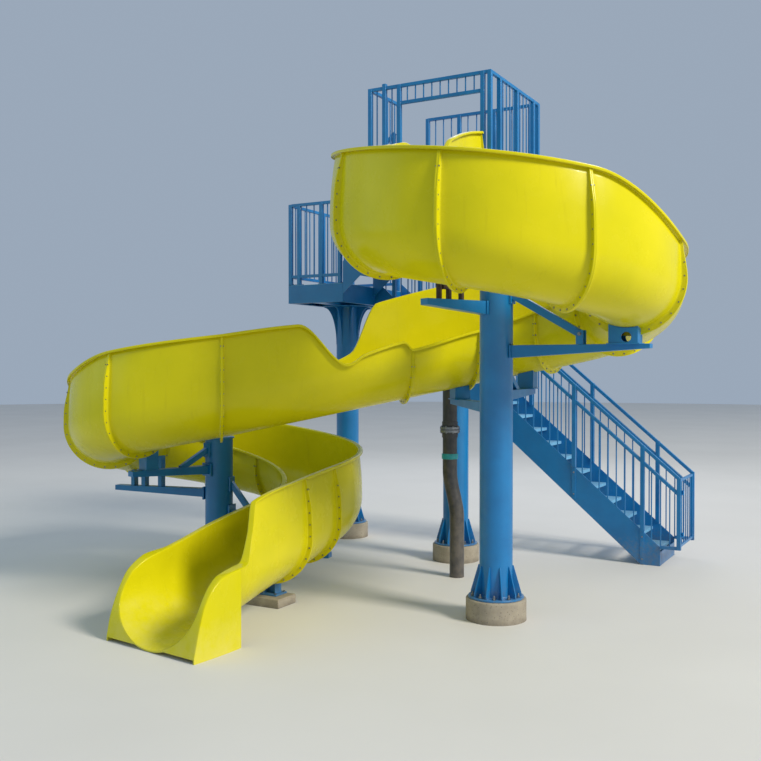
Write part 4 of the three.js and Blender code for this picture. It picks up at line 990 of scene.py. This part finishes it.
def holed_plate(middle, way, ends, low, high, thickness, radius):
    """An upright plate with a round hole: its outline is cut into 48 points in the directions of as many
    points on the circle, so that quads join the two all round."""
    u, z = circle(48, 0.5)
    side = np.where(u > 0, ends[1], ends[0]) / np.maximum(np.abs(u), 1e-6)
    rise = np.where(z > 0, high - middle[2], middle[2] - low) / np.maximum(np.abs(z), 1e-6)
    reach, half = np.minimum(side, rise), thickness / 2
    aside = np.array([-way[1], way[0], 0])
    along = np.array([way[0], way[1], 0])
    loops = np.array([
        middle + off * aside + (size * u)[:, None] * along + (size * z)[:, None] * np.array(UP)
        for size, off in ((reach, -half), (reach, half), (radius, half), (radius, -half))])
    points = loops.reshape(-1, 3)
    return outward(points, [[i % len(points) for i in face] for face in grid_faces(5, 48)])


FRONT_ARM = ("upper_loop", -117)
print("the front arm leaves the shaft at", on_arm(FRONT_ARM, SHAFT_R, 3040).round())

# %% [markdown]
# From those shapes come the parts that arms share: the beam, the saddle, the strut and what holds the
# strut at its ends.

# %% Parts of an arm
def beam(arm, z, length, depth, tip, drop, slim):
    """The tapered beam and the plate it is welded to; a dropped beam slopes down first."""
    root, face = SHAFT_R - 6, SHAFT_R + 14
    if not drop:
        wide, high = (140, depth) if slim else (176, depth * 1.5)
        beam = arm_bar(arm, (root, z), (length, z), 110, depth, tip)
        return [beam, arm_bar(arm, (root, z), (face, z), wide, high)]
    root_z, reach = drop
    return [arm_bar(arm, (root, root_z), (reach + 30, z), 110, depth),
            arm_bar(arm, (reach, z), (length, z), 110, depth, tip),
            arm_bar(arm, (root, root_z), (face, root_z), 180, 180)]


def saddle(arm, span, low, path, hole):
    """Four plates: two along the arm, 10 mm thick and 160 mm apart, and one across each end. Where the
    two have a round hole, they stay level above it and a thinner plate fills the wedge to the shell."""
    parts = []
    for side in (-80, 80):
        a, b = (on_arm(arm, r, low, side) for r in span)
        if hole:
            line = a + np.linspace(0, 1, 12)[:, None] * (b - a)
            level = float(underside(line[:, 0], line[:, 1], *path).min()) - 3
            radius, z, size = hole
            ends = radius - span[0], span[1] - radius
            way = (b - a) / np.linalg.norm(b - a)
            parts.append(holed_plate(on_arm(arm, radius, z, side), way, ends, low, level, 10, size))
            parts.append(under_shell(a, b, level - 1, 9999, 9, path))
        else:
            parts.append(under_shell(a, b, low, 9999, 10, path))
    for r in (span[0] + 5, span[1] - 5):
        parts.append(under_shell(on_arm(arm, r, low, -75), on_arm(arm, r, low, 75), low, 9999, 10, path))
    return parts + [arm_bar(arm, (span[0] - 18, low + 4), (span[1] + 18, low + 4), 196, 12)]


def strut_parts(arm, root_z, reach, end_z, size):
    """A square strut from the shaft out to the beam, and its foot plate."""
    return [arm_bar(arm, (SHAFT_R - 8, root_z - 21), (reach, end_z), size, size),
            arm_bar(arm, (SHAFT_R - 6, root_z - 34), (SHAFT_R + 14, root_z - 34), 120, 170)]


def pinned_end(arm, reach, end_z):
    """Two cheeks that hold the strut's outer end, and a curved gusset at its root."""
    ends = (reach - 35, end_z - 30), (reach + 35, end_z - 30)
    turn = np.linspace(0, np.pi / 2, 9)
    curve = np.column_stack([257 - 92 * np.sin(turn), 3165 - 143 * (1 - np.cos(turn))])
    outline = np.concatenate([[[150, 3172], [257, 3172]], curve, [[150, 3022]]])
    return [arm_bar(arm, *ends, 12, 134, side=side) for side in (-47, 47)] + [
        plate(outline, COLUMNS[arm[0]][:2], arm[1] * DEG, 14)]


trial = saddle(FRONT_ARM, (600, 800), 3100, (S1, S1 + 2400), None)
print("plates of a saddle:", len(trial))

# %% [markdown]
# Seven arms carry the flume. Each row gives the column, direction, height, length, depths at root and
# tip, and the stretch of the path above it, and then what stands on the arm.

# %% Weld the arms
ARMS = {
    "arm_upper_front": (FRONT_ARM, 3040, 880, 130, 60, (S1, S1 + 2400), dict(slim=True)),
    "beam_upper_right": (("upper_loop", 0), 2617, 1500, 122, 42, (S1 + 3000, S1 + 5400), dict(
        saddle=(1130, 1400), strut=(3200, 850, 2776, 72), hole=(1294, 2740, 46), slim=True)),
    "arm_upper_rear": (("upper_loop", 96), 2180, 1360, 110, 60, (S2 - 1900, S2), dict(
        saddle=(1130, 1330), strut=(2560, 760, 2223, 60))),
    "arm_crossover": (("upper_loop", 131), 2060, 1440, 110, 60, (S2 - 700, S2 + 700), dict(
        saddle=(1130, 1350))),
    "arm_lower_front": (("lower_loop", -108), 1270, 1150, 100, 60, (S3, S3 + 3000), dict(
        saddle=(850, 1000), strut=(1530, 520, 1308, 60))),
    "arm_lower_left": (("lower_loop", -169), 980, 1390, 100, 60, (S3 + 1200, S3 + 4500), dict(
        legs=[(750, 800, 1400), (975, 1030, 1320), (1125, 1172, 1280)])),
    "arm_lower_rear": (("lower_loop", 12), 310, 1400, 90, 60, (S4 - 1500, S4 + 600), dict(
        saddle=(1130, 1340), strut=(1130, 700, 395, 60), drop=(760, 800))),
}
pins = []
for name, (arm, z, length, depth, tip, path, more) in ARMS.items():
    parts = beam(arm, z, length, depth, tip, more.get("drop"), more.get("slim"))
    if "saddle" in more:
        parts += saddle(arm, more["saddle"], z + depth / 2 - 3, path, more.get("hole"))
    for r0, r1, high in more.get("legs", []):
        parts.append(under_shell(on_arm(arm, r0, 0), on_arm(arm, r1, 0), 1020, high, 90, path))
    if "strut" in more:
        parts += strut_parts(arm, *more["strut"])
        if "hole" in more:
            _, reach, end_z, _ = more["strut"]
            parts += pinned_end(arm, reach, end_z)
            across = on_arm(arm, 0, 0, 1) - on_arm(arm, 0, 0)
            for side in (-1, 1):
                pins += hexagon_bolts([on_arm(arm, reach, end_z, side * 53)], side * across, 30, 18)
    made = steel(name + "_welded", parts)
    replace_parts(made, name)
make_piece("strut_pins", pins, ZINC, sharp=30)
legs = [arm_bar(FRONT_ARM, (r0, z), (r1, z), 54, height) for r0, r1, z, height in (
    (425, 455, 3218, 250), (575, 605, 3150, 110), (690, 720, 3218, 250), (528, 670, 3270, 140))]
a, b = (on_arm(FRONT_ARM, radius, 0) for radius in (410, 900))
legs.append(under_shell(a, b, 3335, 3420, 54, (S1, S1 + 2400)))
make_piece("flume_bracket_upper_front", legs, BROWN, bevel=3)
print("arms:", len(ARMS))

# %% [markdown]
# A stair follows from one step, here 181 mm up and 210 mm along: twenty rises to the landing and five
# more to the platform. The guards are welded from square tube: 50 mm posts, 40 mm rails and solid 14 mm
# pickets at 115 mm, so that no head fits between them.

# %% Sizes of the stair tower
RISER, GOING = 181, 210
SLOPE = RISER / GOING
LANDING_Z, DECK_Z, CAGE_TOP = 3620, 4525, 5934
PLATFORM = (-2374, -724, PLATFORM_FRONT, 3265)
LANDING = (-4108, -3214, 2377, 4113)
x0, x1, y0, y1 = PLATFORM
l0, l1, m0, m1 = LANDING
NEAR_Y, FAR_Y = 3276, 4088
NEWEL_X, FOOT_X = 1072, 846
HINGE_X, HINGE_Y = NEWEL_X + 43, NEAR_Y + 29
LUG, LUG_HEIGHTS = 14, (380, 900)
PIN_R, SLEEVE_R, SLEEVE_H = 6, 13, 40
RAIL, PICKET, PITCH = 40, 14, 115
INSET, CORNER = 25, 50.3
GAP = 0.3


def lower_nosing(x):
    """The landing's height less slope times the distance from the landing's edge."""
    return LANDING_Z - SLOPE * (x - l1)


def upper_nosing(x):
    """One rise over the landing plus slope times the distance from the landing's edge."""
    return LANDING_Z + RISER + SLOPE * (x - l1)


print("the stair rises at", round(math.degrees(math.atan(SLOPE)), 1), "degrees")

# %% [markdown]
# A guard is a run of posts, rails and pickets between two points in plan. Its heights are functions of
# the distance along it, so that the same few lines weld a level guard and a sloping one.

# %% Shapes of the guards
def rail(start, end):
    """A straight bar with the rails' square section."""
    return bar(start, end, RAIL, RAIL)


def railing(a, b, top, foot, posts, rails, picket_top, post_foot=None, bays=None):
    """Bars of one guard from a to b in plan, with its heights as functions of the distance d from a.
    Pickets fill the bays, which lie between the posts unless they are given."""
    a, b = np.array(a, float), np.array(b, float)
    run = np.linalg.norm(b - a)

    def at(d, z=0):
        return np.array([*(a + (b - a) * d / run), z])

    parts = [rail(at(0, top(0) - drop - RAIL / 2), at(run, top(run) - drop - RAIL / 2)) for drop in rails]
    parts += [post(*at(d)[:2], (post_foot or foot)(d), top(d) - 6) for d in posts]
    for start, end in bays or zip(posts, posts[1:]):
        count = max(1, round((end - start) / PITCH) - 1)
        for d in np.linspace(start, end, count + 2)[1:-1]:
            parts.append(post(*at(d)[:2], foot(d), picket_top(d), PICKET))
    return parts


def deck_guard(a, b, floor, height, marks, inward):
    """A level guard with rails at the top and the toe. Each post has a base plate of 90 mm with two bolts,
    22 mm inwards of it and, at the guard's ends, moved along to stay on the deck."""
    run = math.dist(a, b)
    posts = [f * run for f in marks]
    parts = railing(a, b, lambda d: floor + height, lambda d: floor + 110, posts, [0, height - 100 - RAIL],
                    lambda d: floor + height - RAIL / 2, lambda d: floor + GAP)
    bolts = []
    for d in posts:
        d = min(max(d, 20), run - 20)
        x, y = (a[i] + (b[i] - a[i]) * d / run for i in (0, 1))
        cx, cy = x + 22 * inward[0], y + 22 * inward[1]
        parts.append(block(cx - 45, cx + 45, cy - 45, cy + 45, floor + GAP, floor + 10))
        bolts += [(x + 50 * inward[0] + k * inward[1], y + 50 * inward[1] + k * inward[0], floor + 10)
                  for k in (-26, 26)]
    return parts, bolts


sample = railing((0, 0), (1000, 0), lambda d: 1140, lambda d: 110, (0, 1000), [0], lambda d: 1120)
print("bars of a guard of one metre:", len(sample))

# %% [markdown]
# The platform is caged to 1.4 m, because it is the highest deck, and the cage's front leaves a
# doorway with a header over the start. The landing has a lower guard. Each side is welded flat on a
# bench and lifted into place, so it is one piece of posts, rails, pickets and small base plates.

# %% Weld the guards of the decks
west, east, front, back = x0 + INSET, x1 - INSET, y0 + INSET, y1 - INSET
l_west, l_end, l_front, l_back = l0 + INSET, l1 - 60, m0 + INSET, m1 - INSET
CAGE, GUARD = (DECK_Z, CAGE_TOP - DECK_Z), (LANDING_Z, 1140)
level = {
    "platform_guard_back": ((west, back), (east, back), *CAGE, (0, 0.3, 0.62, 1), (0, -1)),
    "platform_guard_right": ((east, y0 + CORNER), (east, y1 - CORNER), *CAGE, (0.17, 0.53, 0.9), (-1, 0)),
    "platform_guard_left": ((west, y0 + CORNER), (west, y0 + 778), *CAGE, (0.5, 1), (1, 0)),
    "landing_guard_left": ((l_west, l_front), (l_west, l_back), *GUARD, (0, 0.5, 1), (1, 0)),
    "landing_guard_front": ((l0 + CORNER, l_front), (l_end, l_front), *GUARD, (0.15, 0.62, 1), (0, 1)),
    "landing_guard_back": ((l0 + CORNER, l_back), (l_end, l_back), *GUARD, (0.5, 1), (0, -1)),
}
guard_bolts = []
for name, spec in level.items():
    parts, bolts = deck_guard(*spec)
    guard_bolts += bolts
    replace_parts(steel(name + "_bars", parts), name)

rail_z, header_z, toe_z = CAGE_TOP - 22, CAGE_TOP - 231, DECK_Z + 120
TALL, OPEN_LEFT, OPEN_RIGHT = -2148, -1943, -838
parts = [rail((a, front, z), (b, front, z)) for a, b, z in (
    (west, east, rail_z), (OPEN_LEFT, OPEN_RIGHT, header_z),
    (west, OPEN_LEFT, toe_z), (OPEN_RIGHT, east, toe_z))]
parts += [post(x, front, DECK_Z + GAP, CAGE_TOP + 30 if x == TALL else CAGE_TOP - 4)
          for x in (west, TALL, OPEN_LEFT, OPEN_RIGHT, east)]
parts += [post(x, front, toe_z, rail_z, PICKET) for x in (-2255, -2045)]
parts += [post(x, front, header_z, rail_z, PICKET) for x in np.linspace(OPEN_LEFT, OPEN_RIGHT, 11)[1:-1]]
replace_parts(steel("platform_guard_front_bars", parts), "platform_guard_front")
print("deck guards:", len(level) + 1, "with", len(guard_bolts), "bolts")

# %% [markdown]
# The guards of the stair run parallel to the line of the nosings, with pickets between two rails. Their
# posts end above the treads, and a strap on the outside takes each one down the stringer.

# %% Weld the guards of the stair
STRAP = 8.8
LOWER_RAIL = 193
PICKET_TOP = LOWER_RAIL + 10
head = l1 + 40
marks = [x - head for x in (-2900, -2020, -1140, -256, 626, NEWEL_X)]
stair_bolts, stair_ways = [], []
for name, y, out in (("lower_guard_near", NEAR_Y, -1), ("lower_guard_far", FAR_Y, 1)):
    top = lambda d: lower_nosing(head + d) + 1190
    foot = lambda d: 220 if head + d > FOOT_X else lower_nosing(head + d) + 108
    parts = railing((head, y), (NEWEL_X, y), top, foot, marks, [0, LOWER_RAIL],
                    lambda d: top(d) - PICKET_TOP, bays=zip([0] + marks, marks))
    parts.append(rail((FOOT_X + 1, y, 238), (NEWEL_X, y, 238)))
    for d in marks[:-1]:
        x = head + d
        low, high = max(lower_nosing(x) - 300, 4), lower_nosing(x) + 130
        face = y + out * 6.1
        parts.append(block(x - 25, x + 25, *sorted((face, face + out * STRAP)), low, high))
        stair_bolts += [(x, face + out * STRAP, z) for z in (low + 60, high - 90)]
        stair_ways += [(0, out, 0)] * 2
    for z in LUG_HEIGHTS if out < 0 else ():
        pin = [(SLEEVE_R, z), (SLEEVE_R, z + LUG), (PIN_R, z + LUG), (PIN_R, z + 60)]
        parts.append(block(NEWEL_X + 20, HINGE_X + 8, NEAR_Y + 5, HINGE_Y, z, z + LUG))
        parts.append(turned(pin, HINGE_X, HINGE_Y, 24))
    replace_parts(steel(name + "_bars", parts), name)

start, end = l1 + 30, x0 - 31
for name, y in (("upper_guard_front", 2383), ("upper_guard_back", 3214)):
    top = lambda d: upper_nosing(start + d) + 1080
    foot = lambda d: min(DECK_Z, upper_nosing(start + d) + 115) - 6
    posts = (26, end - start - 26)
    parts = railing((start, y), (end, y), top, foot, posts, [0, LOWER_RAIL],
                    lambda d: top(d) - PICKET_TOP)
    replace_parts(steel(name + "_bars", parts), name)

bolts = hexagon_bolts(np.array(guard_bolts), UP, 15, 9)
bolts += hexagon_bolts(np.array(stair_bolts), stair_ways, 17, 9)
make_piece("guard_bolts", bolts, ZINC, sharp=30)
print("guards:", len(level) + 5, "with", len(bolts) // 2, "bolts")

# %% [markdown]
# A flight is two plate stringers with folded pan treads between them. The pans are dusted with sand while
# their paint is wet, so that wet feet grip, and that leaves them matt. Their blue is also paler than the
# rest of the steel: painted light for the sun on their tops.

# %% Build the flights
TREAD = 235
ABOVE, BELOW = 115, 325


def flight(name, outline, front, back, treads, kick=()):
    """Stringers, and a kick plate at the foot, in one piece; the treads in another."""
    plates = [plate(outline, (0, y), 0, 12) for y in (front + 6, back - 6)]
    plates += [block(*foot, front + 11, back - 11, 4, 172) for foot in kick]
    made = steel(name + "_stringers", plates, 2)
    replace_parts(made, name)
    pans = []
    for a, b, top, nose in treads:
        edge, tail = (b, a) if nose > 0 else (a, b)
        fold = nose * 6
        for x, far, low, high in ((a, b, 7, 0), (edge, edge - fold, 40, 6.5), (tail, tail + fold, 30, 6.5)):
            pans.append(block(*sorted((x, far)), front + 12.5, back - 12.5, top - low, top - high))
    # The pans take the paler blue, painted light for sunlit tops.
    make_piece(name + "_treads", pans, LIT_TREAD_PAINT, bevel=2.5)
    return len(treads)


lower = [(FOOT_X, 0.5), (FOOT_X, lower_nosing(FOOT_X) + ABOVE), (l1 + GAP, lower_nosing(l1) + ABOVE),
         (l1 + GAP, lower_nosing(l1) - BELOW), (l1 + (LANDING_Z - BELOW) / SLOPE, 0.5)]
nosings = [l1 + (19 - i) * GOING for i in range(19)]
treads = [(max(x - TREAD, l1 + GAP), x, RISER * (i + 1), 1) for i, x in enumerate(nosings)]
count = flight("lower_flight", lower, 3270, 4094, treads, [(FOOT_X - 11.5, FOOT_X - 0.5)])
upper = [(l1 + GAP, upper_nosing(l1) - BELOW), (x0 - GAP, upper_nosing(x0) - BELOW), (x0 - GAP, DECK_Z),
         (x0 - ABOVE / SLOPE, DECK_Z), (l1 + GAP, upper_nosing(l1) + ABOVE)]
nosings = [l1 + i * GOING for i in range(4)]
treads = [(x + GAP, min(x + TREAD, x0 - GAP), LANDING_Z + RISER * (i + 1), -1)
          for i, x in enumerate(nosings)]
count += flight("upper_flight", upper, 2377, 3220, treads)
print("treads:", count)

# %% [markdown]
# Each deck is a plate on a frame of channels: a deep web outside, with its two flanges turned inwards,
# and plain joists that run to the pair of beams over the column.

# %% Frame the decks
DECK_DEPTH = 254


def deck(name, area, top, column, joists):
    """Webs round the area, their folded flanges, two beams that cross over the column, two joists along
    x or y at a quarter and three quarters, and the plate."""
    x0, x1, y0, y1 = area
    low = top - DECK_DEPTH
    cx, cy = COLUMNS[column][:2]
    web, flange, beam_top = (low, top - 6.5), (low, low + 10), (low + GAP, top - 7)
    blocks = [
        (x0, x1, y0, y0 + 10, *web), (x0, x1, y1 - 10, y1, *web),
        (x0, x0 + 10, y0 + 10, y1 - 10, *web), (x1 - 10, x1, y0 + 10, y1 - 10, *web),
        (x0, x1, y0 + 10, y0 + 70, *flange), (x0, x1, y1 - 70, y1 - 10, *flange),
        (x0 + 10, x0 + 70, y0 + 70, y1 - 70, *flange), (x1 - 70, x1 - 10, y0 + 70, y1 - 70, *flange),
        (cx - 80, cx + 80, y0 + 10, y1 - 10, *beam_top), (x0 + 10, x1 - 10, cy - 80, cy + 80, *beam_top)]
    for share in (0.25, 0.75):
        x, y = x0 + (x1 - x0) * share, y0 + (y1 - y0) * share
        spot = (x - 5, x + 5, y0 + 10, y1 - 10) if joists == "x" else (x0 + 10, x1 - 10, y - 5, y + 5)
        blocks.append((*spot, low + 60, top - 7))
    parts = [block(*spot) for spot in blocks]
    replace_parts(steel(name + "_frame", parts), name)
    # The deck plate takes the same paler blue, painted light for a sunlit top.
    make_piece(name + "_plate", [block(*area, top - 6, top)], LIT_TREAD_PAINT, bevel=1.5)


deck("platform_deck", PLATFORM, DECK_Z, "platform", "x")
deck("landing_deck", LANDING, LANDING_Z, "landing", "y")
print("decks: 2")

# %% [markdown]
# The gate closes the foot of the stair: a frame of 30 mm tube with pickets, hung on two pins that
# stand on lugs of the near newel. Each hinge is a sleeve on its pin, held by a small tab.

# %% Hang the gate
TUBE, GATE_LOW, GATE_TOP = 30, 250, 1090
g0, g1 = NEAR_Y + 33, FAR_Y - 33
parts = [block(NEWEL_X - 15, NEWEL_X + 15, *spot) for spot in (
    (g0, g0 + TUBE, GATE_LOW, GATE_TOP), (g1 - TUBE, g1, GATE_LOW, GATE_TOP),
    (g0 + TUBE, g1 - TUBE, GATE_LOW, GATE_LOW + TUBE), (g0 + TUBE, g1 - TUBE, GATE_TOP - TUBE, GATE_TOP))]
across = np.linspace(g0, g1, round((g1 - g0) / PITCH) + 1)
parts += [post(NEWEL_X, y, 278, 1062, PICKET) for y in across[1:-1]]
for lug_z in LUG_HEIGHTS:
    low, bore = lug_z + LUG + GAP, PIN_R + GAP
    high = low + SLEEVE_H
    sleeve = [(bore, low), (SLEEVE_R, low), (SLEEVE_R, high), (bore, high), (bore, low)]
    parts.append(turned(sleeve, HINGE_X, HINGE_Y, 24))
    parts.append(block(NEWEL_X + 11, NEWEL_X + 32, g0 + 2, g0 + 10, low, high))
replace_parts(steel("stair_gate_bars", parts, 2, "gate"), "stair_gate")
print("gate:", len(parts), "bars and hinge parts")

# %% [markdown]
# The exit rests on a low stand: a foot plate bolted to its block and three upright plates, two along
# its sides and one between them, with their top edges cut to the shell.

# %% Set the stand under the exit
BLOCK_TOP, STAND_TOP = 95, 111
stand_x, stand_y, _ = (float(v[0]) for v in centre(np.array([S4 + 890])))
foot = np.array([stand_x, stand_y, 0])
parts = [block(stand_x - 110, stand_x + 110, stand_y - 100, stand_y + 100, BLOCK_TOP, STAND_TOP)]
for a, b in (([-65, -55, 0], [-65, 55, 0]), ([65, -55, 0], [65, 55, 0]), ([-60, 0, 0], [60, 0, 0])):
    parts.append(under_shell(foot + a, foot + b, STAND_TOP - 2, 999, 10, (S4 + 600, S4 + 1200)))
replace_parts(steel("exit_support_stand_welded", parts, 2), "exit_support_stand")
nuts = np.array([(stand_x + dx, stand_y + dy, STAND_TOP) for dx in (-88, 88) for dy in (-78, 78)])
make_piece("stand_bolts", hexagon_bolts(nuts, UP, 20, 12), ZINC, sharp=30)
print("stand at", round(stand_x), round(stand_y))

# %% [markdown]
# A plain pale floor and soft light, as in a studio: a wide panel from the right and in front for the
# sunny side, weaker ones from the left and from behind, and an even pale surround.

# %% Stage and light
FLOOR_R = 60
stage, where = new_finish("stage_floor", Roughness=0.8)
patches = add(stage, "TexNoise", {"Vector": where, "Scale": 1000 / 2500, "Detail": 3, "Roughness": 0.55})
patches = add(stage, "MapRange", {0: patches, 1: 0.3, 2: 0.7})
feed(stage, Base_Color=add(stage, "Mix", {0: patches, 6: "#DAD8D4", 7: "#D5D3CF"}, 2, data_type="RGBA"))
floor_mesh = bpy.data.meshes.new("stage_floor")
disc = FLOOR_R * np.column_stack([*circle(96), np.zeros(96)])
floor_mesh.from_pydata(disc.tolist(), [], [list(range(96))])
floor_mesh.materials.append(stage)
stage_floor = placed("stage_floor", floor_mesh)
stage_floor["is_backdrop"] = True


def panel(name, place, aim, size, watts, colour):
    """A square area light at place that faces aim."""
    light = bpy.data.lights.new(name, "AREA")
    light.size = size
    light.energy = watts
    light.color = linear(colour)[:3]
    lamp = placed(name, light)
    lamp.location = place
    lamp.rotation_euler = (Vector(aim) - Vector(place)).to_track_quat("-Z", "Y").to_euler()


panel("key", (40, -6, 30), (0, 0, 2), 12, 22500, "#FFF8EA")
panel("fill", (-12, -9, 7), (0, 0, 2), 9, 230, "#C8F4DC")
panel("back", (-3, 12, 10), (0, 0, 3), 8, 300, "#F4F6FF")
world = bpy.data.worlds.new("surround")
bpy.context.scene.world = world
# A plain transform keeps the gelcoat as strong a yellow as it is outdoors.
bpy.context.scene.view_settings.view_transform = "Standard"
world.use_nodes = True
world.node_tree.nodes["Background"].inputs["Color"].default_value = linear("#CADCF2")
world.node_tree.nodes["Background"].inputs["Strength"].default_value = 0.55
print("lights:", [light.name for light in bpy.data.lights])

# %% [markdown]
# Last, the finished model is measured against the solids it stands for: it may not be bigger.

# %% Measure and finish
low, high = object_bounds()
grown = max(max(cad_low - low), max(high - cad_high)) * 1000
print("grown beyond the solids by at most", round(grown, 2), "mm")
